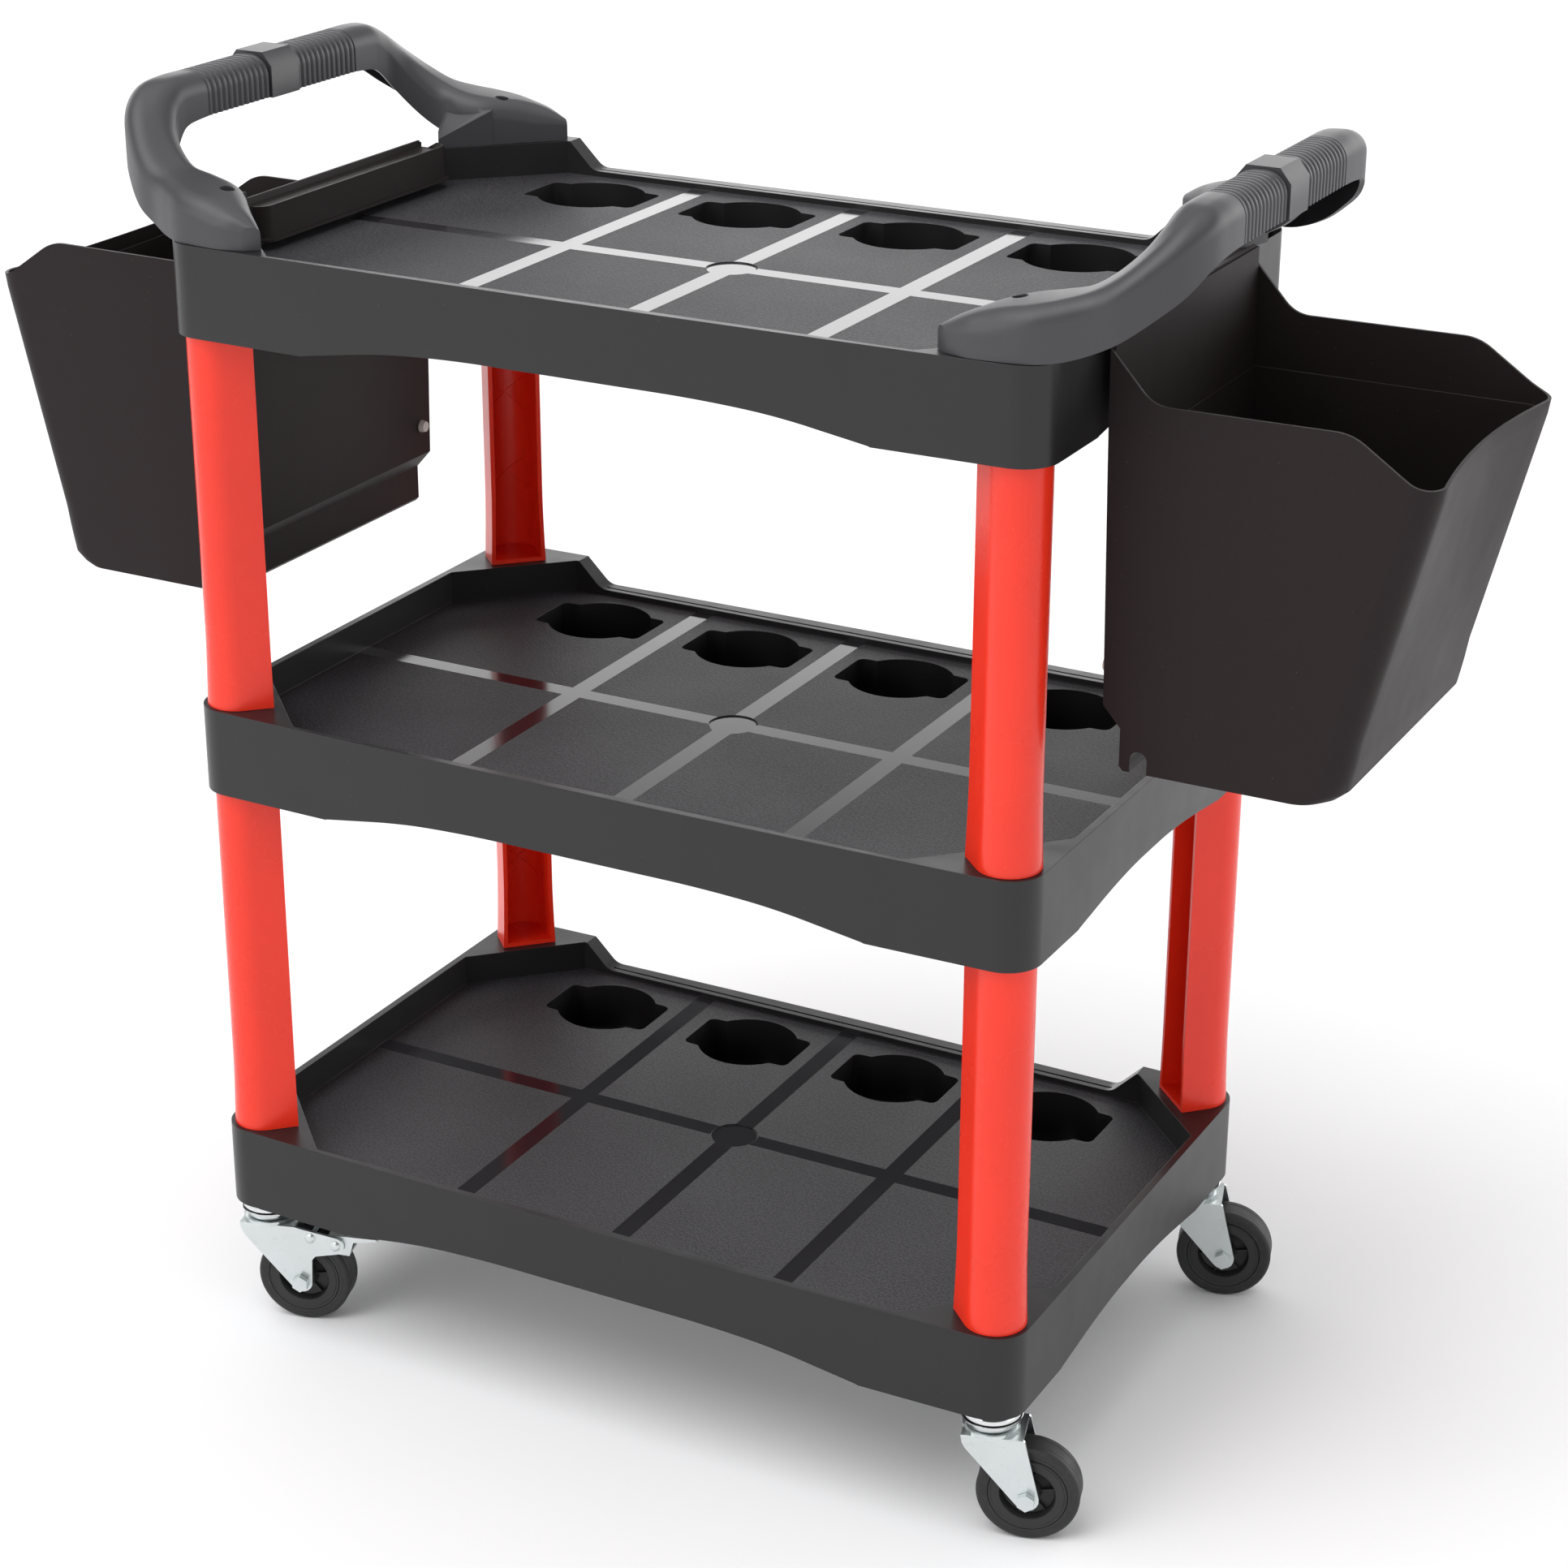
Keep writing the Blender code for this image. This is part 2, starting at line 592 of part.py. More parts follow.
def handle_stations():
    """Half a handle, from the tip of its foot to the middle of the grip.

    Each stop gives the inner lower edge, the outer lower edge and the crest
    height; heights are measured from the top shelf's floor.
    """
    rest = RIM_HEIGHT + GAP
    inner = GRIP_X - GRIP_WIDTH / 2.0
    outer = GRIP_X + GRIP_WIDTH / 2.0
    side = GRIP_TOP - GRIP_SIDE
    stops = [
        (0.2590, 0.2022, rest, 0.2680, 0.2102, rest, 0.0420),
        (0.2700, 0.1915, rest, 0.2850, 0.2145, rest, 0.0500),
        (0.2870, 0.1749, rest, 0.3060, 0.2136, rest, 0.0570),
        (0.3050, 0.1574, rest, 0.3240, 0.2107, rest, 0.0605),
        (0.3260, 0.1518, rest, 0.3400, 0.2029, rest + 0.0010, 0.0640),
        (0.3440, 0.1528, 0.0340, 0.3560, 0.1941, 0.0310, 0.0690),
        (0.3580, 0.1498, 0.0430, 0.3740, 0.1868, 0.0395, 0.0790),
        (0.3700, 0.1440, 0.0555, 0.3900, 0.1735, 0.0525, 0.0920),
        (0.3775, 0.1350, 0.0690, 0.4050, 0.1570, 0.0670, 0.1050),
        (0.3800, 0.1250, 0.0800, 0.4150, 0.1365, 0.0815, 0.1135),
        (inner, 0.1150, side - 0.002, outer, 0.1150, side - 0.001, GRIP_TOP - 0.0006),
        (inner, 0.0950, side, outer, 0.0950, side, GRIP_TOP),
        (inner, 0.0292, side, outer, 0.0292, side, GRIP_TOP),
    ]
    stations = []
    for x0, y0, z0, x1, y1, z1, top in smooth_path(stops, 2):
        stations.append((x0, y0, max(z0, rest), x1, y1, max(z1, rest), top))
    return stations


def handle_section(station, base, wall, sink):
    """Outline across the handle: up the inner side, over the crown, down again."""
    x0, y0, z0, x1, y1, z1, top = station
    length = math.hypot(x1 - x0, y1 - y0)
    crown = min(GRIP_CROWN, 0.62 * (top - max(z0, z1)), 0.42 * length) - 0.6 * wall
    top -= wall
    flat = [(wall, z0 - sink)] + arc(wall + crown, top - crown, crown, 180, 90, 3)
    flat += arc(length - wall - crown, top - crown, crown, 90, 0, 3)
    flat.append((length - wall, z1 - sink))
    ux, uy = (x1 - x0) / length, (y1 - y0) / length
    return [(x0 + ux * n, y0 + uy * n, base + z) for n, z in flat]


def handle_loft(name, stations, base, wall, sink):
    rings = [handle_section(s, base, wall, sink) for s in stations]
    rings += [[(x, -y, z) for x, y, z in ring] for ring in reversed(rings)]
    return lofted(name, rings)


def make_toe(base, sy):
    """Low wedge of the foot that follows the platform's edge to the end wall."""
    corners = ((0.3315, 0.1287, 0.007), (0.3160, 0.1442, 0.017), (0.3010, 0.1592, 0.027),
               (0.3220, 0.1750, 0.030), (0.3430, 0.1590, 0.028), (0.3370, 0.1370, 0.011))
    bm = bmesh.new()
    low = base + RIM_HEIGHT + GAP
    for x, y, height in corners:
        bm.verts.new((x, sy * y, low))
        bm.verts.new((x, sy * y, low + height))
    bmesh.ops.convex_hull(bm, input=bm.verts)
    return from_bmesh("toe", bm)


def make_handle(name, sx):
    base = FLOOR_Z["top"]
    stations = handle_stations()
    handle = handle_loft(name, stations, base, 0.0, 0.0)
    half = GRIP_WIDTH / 2.0 + 0.0014
    top = base + GRIP_TOP + 0.0015
    low = top - GRIP_SIDE - 0.0020
    block = [(GRIP_X - half, low), (GRIP_X + half, low), (GRIP_X + half, top - 0.0100),
             (GRIP_X + half - 0.0080, top), (GRIP_X - half + 0.0080, top),
             (GRIP_X - half, top - 0.0100)]
    handle = join(handle, upright("block", block, -BLOCK_HALF, BLOCK_HALF))
    for sy in (-1, 1):
        handle = join(handle, make_toe(base, sy))
    hollow = handle_loft("hollow", stations[3:], base, HANDLE_WALL, 0.02)
    for sy in (-1, 1):
        at = (SCREW_X, sy * SCREW_Y)
        hollow = cut(hollow, cylinder("boss", 0.0090, base - 0.02, base + 0.20, 16, at))
    handle = cut(handle, hollow)
    for sy in (-1, 1):
        at = (SCREW_X, sy * SCREW_Y)
        floor = base + RIM_HEIGHT + 0.0200
        bore = cylinder("counterbore", SCREW_HOLE, floor, base + 0.10, 16, at)
        handle = cut(handle, bore)
        handle = cut(handle, cylinder("shank_hole", 0.0026, base, floor + 0.01, 12, at))
    if sx < 0:
        place(handle, Matrix.Diagonal((-1.0, 1.0, 1.0, 1.0)))
    return finish(handle, handle_black, 50.0)


def make_screw(name, sx, sy):
    base = FLOOR_Z["top"]
    head = base + RIM_HEIGHT + 0.0203
    at = (sx * SCREW_X, sy * SCREW_Y)
    screw = cylinder(name, 0.0022, base + 0.008, head + 0.001, 12, at)
    screw = join(screw, cylinder("head", SCREW_HOLE - 0.0004, head, head + 0.0026, 16, at))
    slot = cylinder("recess", 0.0018, head + 0.0012, head + 0.004, 6, at)
    return finish(cut(screw, slot), zinc)


# ---- bins ----------------------------------------------------------------
def bin_lean(z):
    """How far the back wall stands off from the shelf at a height below its floor."""
    return -BIN_LEAN * z


def bin_body(name, wall):
    """Tapered box with rounded front corners; wall is how far it is shrunk.

    Each level gives its height, back, front and its share of the inward bow
    that the front wall takes on towards the rim.
    """
    raised = BIN_RAISED if wall else 0.0
    levels = [
        (wall - 0.2662, max(0.0208, raised), 0.1570, 0.0),
        (wall - 0.2632, max(0.0178, raised), 0.1642, 0.0),
        (wall - 0.2572, max(0.0178, raised), 0.1715, 0.0),
        (-0.2482, max(0.0178, raised), 0.1734, 0.0),
        (-0.2479, 0.0178, 0.1735, 0.0),
        (-0.2365, 0.0178, 0.1757, 0.0),
        (-0.2222, bin_lean(-0.2222), 0.1780, 0.0),
        (-0.1500, bin_lean(-0.1500), 0.1954, 0.15),
        (-0.0465, bin_lean(-0.0465), 0.2203, 0.95),
        (-0.0300, bin_lean(-0.0300), 0.2220, 1.0),
        (0.0301 + 4.0 * wall, 0.0000, 0.2220, 1.0),
    ]
    half = BIN_HALF_Y - wall
    radius = BIN_CORNER - wall
    flat = half - radius
    rings = []
    for z, back, front, share in levels:
        x0 = BIN_BACK_X + back + wall
        x1 = BIN_BACK_X + front - wall
        ring = [(x0, -half)] + arc(x1 - radius, -flat, radius, -90, 0, 5)
        for y in (-0.6 * flat, 0.0, 0.6 * flat):
            ring.append((x1 - BIN_BOW * share * (1.0 - (y / flat) ** 2), y))
        ring += arc(x1 - radius, flat, radius, 0, 90, 5) + [(x0, half)]
        rings.append([(x, y, FLOOR_Z["top"] + z) for x, y in ring])
    return lofted(name, rings)


def make_bin(name, sx):
    z = FLOOR_Z["top"]
    x0 = BIN_BACK_X
    body = cut(bin_body(name, 0.0), bin_body("inside", BIN_WALL))

    rim = [(x0 + 0.0030, z + 0.10), (x0 + 0.0030, z + 0.0160), (x0 + 0.0308, z - 0.0145),
           (x0 + 0.1620, z - 0.0138), (x0 + 0.2080, z - 0.0450), (x0 + 0.2600, z - 0.0450),
           (x0 + 0.2600, z + 0.10)]
    body = cut(body, upright("rim", rim, -0.20, 0.20))
    slope = [(x0 - 0.0100, z + 0.10), (x0 - 0.0100, z + 0.0304), (x0 + 0.0305, z - 0.0142),
             (x0 + 0.0600, z - 0.0140), (x0 + 0.0600, z + 0.10)]
    for sy in (-1, 1):
        low, high = sorted((sy * (BIN_HALF_Y - BIN_WALL - 0.0004), sy * 0.20))
        body = cut(body, upright("slope", slope, low, high))

    groove = [(x0 + 0.0255, z - 0.30), (x0 + 0.0375, z - 0.30), (x0 + 0.0375, z - 0.2570)]
    groove += arc(x0 + 0.0315, z - 0.2570, 0.0060, 0, 180, 8)[1:]
    body = cut(body, upright("groove", groove, -0.20, 0.20))

    hook_z = z + RIM_HEIGHT + 0.0006
    inner = x0 - 0.0290
    hook = [(x0 + 0.0010, hook_z), (x0 + 0.0010, hook_z + 0.0040), (x0 - 0.0002, hook_z + 0.0040),
            (x0 - 0.0014, hook_z + 0.0026), (inner + 0.0026, hook_z + 0.0026),
            (inner + 0.0016, hook_z + 0.0044), (inner, hook_z + 0.0044),
            (inner, hook_z - 0.0200), (inner + 0.0026, hook_z - 0.0200),
            (inner + 0.0026, hook_z)]
    half = BIN_HALF_Y - 0.0070
    body = join(body, upright("hook", hook, -half, half))
    for sy in (-1, 1):
        at = (sy * BUMPER_Y, z - 0.1980)
        peg = cylinder("peg_bore", 0.0030, -0.01, 0.01, 12)
        place(peg, Matrix.Rotation(math.radians(90.0), 4, "Y"))
        place(peg, Matrix.Translation((x0 + bin_lean(-0.1980), at[0], at[1])))
        body = cut(body, peg)
    if sx < 0:
        place(body, Matrix.Diagonal((-1.0, 1.0, 1.0, 1.0)))
    set_origin(finish(body, bin_black), (sx * BIN_BACK_X, 0.0, z))


def make_bumper(name, sx, sy):
    """Small pale stop pressed through the back wall of a bin."""
    z = FLOOR_Z["top"] - 0.1980
    profile = [(0.0, 0.0050), (0.0042, 0.0044), (0.0050, 0.0003), (0.0027, 0.0003),
               (0.0027, -0.0052), (0.0, -0.0052)]
    stop = turned(name, profile, 12)
    place(stop, Matrix.Rotation(math.radians(-90.0), 4, "Y"))
    back = BIN_BACK_X + bin_lean(-0.1980)
    place(stop, Matrix.Translation((back, sy * BUMPER_Y, z)))
    if sx < 0:
        place(stop, Matrix.Diagonal((-1.0, 1.0, 1.0, 1.0)))
    set_origin(finish(stop, pale), (sx * BIN_BACK_X, 0.0, FLOOR_Z["top"]))


# ---- assembly ------------------------------------------------------------
clear_scene()
parts = new_collection("tool_cart")
shelf_black = material("shelf_plastic", BLACK, 0.45)
handle_black = material("handle_plastic", BLACK, 0.50)
bin_black = material("bin_plastic", BIN_BLACK, 0.45)
hub_black = material("hub_plastic", BLACK, 0.40)
leg_red = material("leg_plastic", RED, 0.38)
zinc = material("zinc_plate", ZINC, 0.35, 1.0)
chrome = material("chrome", ZINC, 0.12, 1.0)
rubber = material("tyre_rubber", RUBBER, 0.60)
pale = material("bumper_plastic", PALE, 0.50)

CORNERS = {"fl": (-1, -1), "fr": (1, -1), "bl": (-1, 1), "br": (1, 1)}
for level, floor_z in FLOOR_Z.items():
    make_shelf(level + "_shelf", floor_z, level == "top")
for tier, below, above in (("lower", "bottom", "middle"), ("upper", "middle", "top")):
    foot_z = FLOOR_Z[below] + RIM_HEIGHT + GAP
    head_z = FLOOR_Z[above] + RIM_HEIGHT - PLATFORM_SKIN - GAP
    for corner, (side_x, side_y) in CORNERS.items():
        make_leg(tier + "_leg_" + corner, foot_z, head_z, side_x, side_y, tier == "upper")
for corner, (side_x, side_y) in CORNERS.items():
    make_caster(corner, side_x, side_y, side_x < 0)
    make_screw("handle_screw_" + corner, side_x, side_y)
for side, side_x in (("left", -1), ("right", 1)):
    make_handle("handle_" + side, side_x)
    make_bin("bin_" + side, side_x)
    for end, side_y in (("front", -1), ("back", 1)):
        make_bumper("bin_bumper_" + side + "_" + end, side_x, side_y)
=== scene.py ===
"""Looks of the three-shelf tool cart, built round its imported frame."""

import math

import bmesh
import bpy
from mathutils import Matrix, Vector


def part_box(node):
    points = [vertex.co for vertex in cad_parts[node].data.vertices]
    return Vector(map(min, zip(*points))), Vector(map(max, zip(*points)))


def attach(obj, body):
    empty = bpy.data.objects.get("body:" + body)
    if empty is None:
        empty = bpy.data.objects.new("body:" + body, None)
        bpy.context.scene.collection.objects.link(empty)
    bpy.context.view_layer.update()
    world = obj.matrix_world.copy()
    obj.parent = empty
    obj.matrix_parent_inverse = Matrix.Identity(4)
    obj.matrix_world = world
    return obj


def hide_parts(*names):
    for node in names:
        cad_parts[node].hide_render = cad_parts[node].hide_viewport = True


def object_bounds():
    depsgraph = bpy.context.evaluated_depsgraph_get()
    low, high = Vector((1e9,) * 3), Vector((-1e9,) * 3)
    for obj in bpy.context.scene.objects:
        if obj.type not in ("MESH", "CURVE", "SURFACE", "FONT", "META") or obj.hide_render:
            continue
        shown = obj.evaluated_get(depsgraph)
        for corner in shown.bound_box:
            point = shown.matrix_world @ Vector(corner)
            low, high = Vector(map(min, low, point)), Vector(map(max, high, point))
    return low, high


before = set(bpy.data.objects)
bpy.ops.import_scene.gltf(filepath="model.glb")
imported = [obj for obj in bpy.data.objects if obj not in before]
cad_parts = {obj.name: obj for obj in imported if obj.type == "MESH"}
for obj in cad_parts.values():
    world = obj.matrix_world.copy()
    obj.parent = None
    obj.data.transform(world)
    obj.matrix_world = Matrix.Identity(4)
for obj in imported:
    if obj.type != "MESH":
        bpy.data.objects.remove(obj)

CAD_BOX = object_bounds()


# ---- camera --------------------------------------------------------------
def make_camera(place, azimuth, elevation, roll, lens):
    """Looks back along an azimuth measured from -Y towards +X."""
    a, e, r = math.radians(azimuth), math.radians(elevation), math.radians(roll)
    back = Vector((math.sin(a) * math.cos(e), -math.cos(a) * math.cos(e), math.sin(e)))
    level = Vector((math.cos(a), math.sin(a), 0.0))
    rise = back.cross(level)
    right = level * math.cos(r) + rise * math.sin(r)
    up = back.cross(right)
    lens_data = bpy.data.cameras.new("camera")
    lens_data.lens = lens
    lens_data.sensor_width = 36.0
    camera = bpy.data.objects.new("camera", lens_data)
    bpy.context.scene.collection.objects.link(camera)
    axes = Matrix((right, up, back)).transposed().to_4x4()
    camera.matrix_world = Matrix.Translation(place) @ axes
    bpy.context.scene.camera = camera


make_camera(place=(1.1583, -2.0901, 1.4491), azimuth=28.076, elevation=22.779,
            roll=0.184, lens=79.02)

# ---- sizes, from the frame where it has them ------------------------------
RIM_HEIGHT = 0.0255
TRAY_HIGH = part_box("top_shelf")[1]
FLOOR_Z = {}
for tier_name in ("bottom", "middle", "top"):
    FLOOR_Z[tier_name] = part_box(tier_name + "_shelf")[1].z - RIM_HEIGHT
SIDE_BOW = 0.0035
HALF_LENGTH = TRAY_HIGH.x
HALF_WIDTH = TRAY_HIGH.y - SIDE_BOW
CORNER_RADIUS = 0.0260
WALL = 0.0026
END_WALL = 0.0060
FLOOR_THICKNESS = 0.0040
BACK_LIP_HEIGHT = 0.0045
BACK_LIP_DEPTH = 0.0140
LIP_GROOVE_IN = 0.0050
LIP_GROOVE_OUT = 0.0068
LIP_GROOVE_DEPTH = 0.0012
SKIRT_CORNER = 0.0410
SKIRT_LONG_MID = 0.0265
SKIRT_END_MID = 0.0300
ARCH_SHOULDER_DROP = 0.0030
ARCH_SOFTNESS = 0.0300
# half lengths of a skirt's arch: at its foot, its shoulder and its flat top
LONG_ARCH = (0.222, 0.150, 0.090)
END_ARCH = (0.130, 0.070, 0.030)
PLATFORM_SUM = 0.4595
PLATFORM_SKIN = 0.0030
SOCKET_REACH = 0.0195
RAMP_TOP_X = 0.2560
RAMP_PAST = 0.0200
RAMP_RISE = 0.0410
RAMP_SOFTNESS = 0.0060
CELL_PITCH = 0.1359
STRIP_PITCH = 0.1370
STRIP_HALF = 0.0078
POCKET_Y = 0.1463
POCKET_RADIUS = 0.0415
POCKET_HALF_X = 0.0479
POCKET_HALF_Y = 0.0244
POCKET_EAR_RADIUS = 0.0060
POCKET_MEET_X = 0.0365
POCKET_MEET_RISE = 0.0030
POCKET_DEPTH = 0.0380
POCKET_WALL = 0.0024
DISC_RADIUS = 0.0185
DISC_DEPTH = 0.0010
DISC_EDGE = 0.0010

# how far cutters reach past what they cut
PAST_FACE = 0.01
PAST_RIM = 0.05
PAST_SKIRT = 0.06
PAST_SIDES = 0.26
PAST_ENDS = 0.38

LEG_RADIUS = 0.0228
LEG_WAIST = 0.0212
LEG_INWARD = 0.0225
LEG_WALL = 0.0035
LEG_FLARE = 0.0600
LEG_FLARE_CURVE = 1.6
CROSS_COUNT = 4
CROSS_PITCH = 0.0670
CROSS_RISE = 0.0155
CROSS_TURN = 62.0
CROSS_ROOT = 0.0010
CROSS_PROUD = 0.0011
CROSS_ROOT_HALF = 0.0008
CROSS_CREST_HALF = 0.0005
GAP = 0.0003

GRIP_TOP = 0.1178
GRIP_X = 0.3990
GRIP_WIDTH = 0.0365
GRIP_SIDE = 0.0310
GRIP_CROWN = 0.0150
GRIP_STEP = 0.0005
CROWN_TO_HEIGHT = 0.62
CROWN_TO_WIDTH = 0.42
CROWN_TO_WALL = 0.6
BLOCK_HALF = 0.0170
BLOCK_OVERLAP = 0.0040
BLOCK_PROUD_X = 0.0014
BLOCK_PROUD_Z = 0.0015
BLOCK_LOWER = 0.0020
BLOCK_CHAMFER_X = 0.0080
BLOCK_CHAMFER_Z = 0.0100
HANDLE_WALL = 0.0034
HANDLE_BOSS_RADIUS = 0.0090
SCREW_BORE_RADIUS = 0.0052
SCREW_BORE_FLOOR = 0.0200
RIB_END = 0.0930
RIB_COUNT = 12
RIB_DEPTH = 0.0016

BIN_BACK_X = 0.3450
BIN_HALF_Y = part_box("bin_right")[1].y
BIN_WALL = 0.0028
BIN_CORNER = 0.0200
BIN_RAISED = 0.0382
BIN_BOW = 0.0095
BIN_RIM_THINNING = 0.0004
BIN_RIM_START = -0.0549
BIN_EDGE_SOFTNESS = 0.0110
BIN_PAST = 0.20
BIN_ABOVE = 0.10
BIN_BELOW = 0.30
BIN_GROOVE_X = 0.0315
BIN_GROOVE_RADIUS = 0.0060
BIN_GROOVE_TOP = 0.2570
HOOK_INSET = 0.0070
HOOK_TURN = 0.0110
HOOK_REACH = 0.0290
HOOK_LIP = 0.0060
HOOK_FLOOR = 0.0014
HOOK_DROP = 0.0200
HOOK_LIFT = 0.0006

TYRE_HALF = 0.0120
TYRE_SHOULDER = 0.0034
HUB_SEAT = 0.0284
HUB_LIP = 0.0203
SPOKE_COUNT = 6
SPOKE_START = 11.0
SPOKE_ROOT = 0.0078
SPOKE_HALF = 0.0005
SPOKE_REACH = 0.0066
CUP_NECK = 0.0135
CUP_REACH = 0.0073
CUP_BASE = 0.0086
CUP_RISE = 0.0064
DISH_NECK = 0.0160
DISH_REACH = 0.0042
DISH_RISE = 0.0064

CORNERS = {"fl": (-1, -1), "fr": (1, -1), "bl": (-1, 1), "br": (1, 1)}


def middle(node_name):
    low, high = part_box(node_name)
    return (low + high) / 2.0


AXIS = {corner: middle("race_" + corner) for corner in CORNERS}
CORNER_X = abs(AXIS["fr"].x)
CORNER_Y = abs(AXIS["fr"].y)
SCREW_AT = {corner: middle("handle_screw_" + corner) for corner in CORNERS}


# ---- mesh helpers --------------------------------------------------------
def add_object(name, mesh):
    obj = bpy.data.objects.new(name, mesh)
    bpy.context.scene.collection.objects.link(obj)
    return obj


def from_bmesh(name, bm):
    bmesh.ops.recalc_face_normals(bm, faces=bm.faces)
    mesh = bpy.data.meshes.new(name)
    bm.to_mesh(mesh)
    bm.free()
    return add_object(name, mesh)


def plate(name, outline, low, high):
    """A flat outline in X and Y as one face, raised from low to high."""
    return lofted(name, [[(x, y, low) for x, y in outline], [(x, y, high) for x, y in outline]])


def upright(name, outline, low, high, along_x=False):
    """A flat outline of (across, z) pairs, raised along Y, or along X."""
    if along_x:
        rings = [[(v, a, z) for a, z in outline] for v in (low, high)]
    else:
        rings = [[(a, v, z) for a, z in outline] for v in (low, high)]
    return lofted(name, rings)


def lofted(name, rings, triangles=False):
    """Sections with the same number of points, skinned and closed at both ends."""
    bm = bmesh.new()
    loops = [[bm.verts.new(p) for p in ring] for ring in rings]
    count = len(loops[0])
    for near, far in zip(loops, loops[1:]):
        for i in range(count):
            j = (i + 1) % count
            bm.faces.new((near[i], near[j], far[j], far[i]))
    bm.faces.new(list(reversed(loops[0])))
    bm.faces.new(loops[-1])
    if triangles:
        bmesh.ops.triangulate(bm, faces=bm.faces)
    return from_bmesh(name, bm)


def turned(name, profile, steps=96):
    """A closed profile of (radius, z) pairs turned about Z."""
    bm = bmesh.new()
    loops = []
    for k in range(steps):
        angle = 2.0 * math.pi * k / steps
        c, s = math.cos(angle), math.sin(angle)
        loops.append([bm.verts.new((r * c, r * s, z)) for r, z in profile])
    for near, far in zip(loops, loops[1:] + loops[:1]):
        for i in range(len(profile)):
            j = (i + 1) % len(profile)
            bm.faces.new((near[i], near[j], far[j], far[i]))
    return from_bmesh(name, bm)


def cylinder(name, radius, low, high, sides=48, at=(0.0, 0.0)):
    bm = bmesh.new()
    bmesh.ops.create_cone(bm, cap_ends=True, segments=sides, radius1=radius,
                          radius2=radius, depth=high - low)
    bmesh.ops.translate(bm, verts=bm.verts, vec=(at[0], at[1], (high + low) / 2.0))
    return from_bmesh(name, bm)


def combine(obj, other, operation):
    step = obj.modifiers.new(operation.lower(), "BOOLEAN")
    step.object = other
    step.operation = operation
    step.solver = "EXACT"
    bpy.context.view_layer.update()
    seen = obj.evaluated_get(bpy.context.evaluated_depsgraph_get())
    mesh = bpy.data.meshes.new_from_object(seen)
    obj.modifiers.clear()
    obj.data = mesh
    bpy.data.objects.remove(other, do_unlink=True)
    return obj


def cut(obj, cutter):
    return combine(obj, cutter, "DIFFERENCE")


def join(obj, other):
    return combine(obj, other, "UNION")


def place(obj, matrix):
    obj.data.transform(matrix)
    if matrix.determinant() < 0:
        obj.data.flip_normals()
    return obj


def arc(cx, cy, radius, start, end, count):
    points = []
    for i in range(count + 1):
        angle = math.radians(start + (end - start) * i / count)
        points.append((cx + radius * math.cos(angle), cy + radius * math.sin(angle)))
    return points


def softened(points, radius, count=5, skip=()):
    """An open chain of corners with each inner corner rounded by a curve."""
    chain = [points[0]]
    for i in range(1, len(points) - 1):
        here = Vector(points[i])
        if i in skip:
            chain.append(tuple(here))
            continue
        back, on = Vector(points[i - 1]) - here, Vector(points[i + 1]) - here
        reach = min(radius, 0.45 * back.length, 0.45 * on.length)
        start, end = here + back.normalized() * reach, here + on.normalized() * reach
        for k in range(count + 1):
            t = k / count
            chain.append(tuple(start * (1 - t) ** 2 + here * 2 * t * (1 - t) + end * t * t))
    chain.append(points[-1])
    return chain


def bevelled(obj, width, angle=35.0, segments=2):
    edge = obj.modifiers.new("edges", "BEVEL")
    edge.width = width
    edge.segments = segments
    edge.limit_method = "ANGLE"
    edge.angle_limit = math.radians(angle)
    edge.harden_normals = True
    return obj


def finish(obj, body, nodes, mats, bevel=0.0006, angle=35.0):
    obj.data.materials.clear()
    for mat in mats:
        obj.data.materials.append(mat)
    obj.data.shade_smooth()
    obj.data.set_sharp_from_angle(angle=math.radians(angle))
    if bevel:
        bevelled(obj, bevel, angle)
    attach(obj, body)
    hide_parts(*nodes)
    return obj


# ---- materials -----------------------------------------------------------
def node(tree, kind, values=None, **settings):
    made = tree.nodes.new("ShaderNode" + kind)
    for key, value in settings.items():
        setattr(made, key, value)
    for key, value in (values or {}).items():
        if isinstance(value, bpy.types.NodeSocket):
            tree.links.new(value, made.inputs[key])
        else:
            made.inputs[key].default_value = value
    return made


def maths(tree, operation, first, second=0.0):
    return node(tree, "Math", {0: first, 1: second}, operation=operation).outputs[0]


def spread(tree, value, low, high, start=0.0, end=1.0):
    """Value from start..end mapped to low..high."""
    keys = {"Value": value, "From Min": start, "From Max": end, "To Min": low, "To Max": high}
    return node(tree, "MapRange", keys).outputs[0]


def noise(tree, where, scale, detail=3.0, rough=0.55):
    keys = {"Vector": where, "Scale": scale, "Detail": detail, "Roughness": rough}
    return node(tree, "TexNoise", keys).outputs["Fac"]


def stretched(tree, where, factors):
    return node(tree, "Mapping", {"Vector": where, "Scale": factors}).outputs[0]


def blend(tree, share, first, second):
    keys = {0: share, 6: first, 7: second}
    return node(tree, "Mix", keys, data_type="RGBA").outputs[2]


def shade(colour, factor):
    return tuple(min(1.0, c * factor) for c in colour[:3]) + (1.0,)


def new_material(name):
    mat = bpy.data.materials.new(name)
    mat.use_nodes = True
    tree = mat.node_tree
    return mat, tree, tree.nodes["Principled BSDF"]


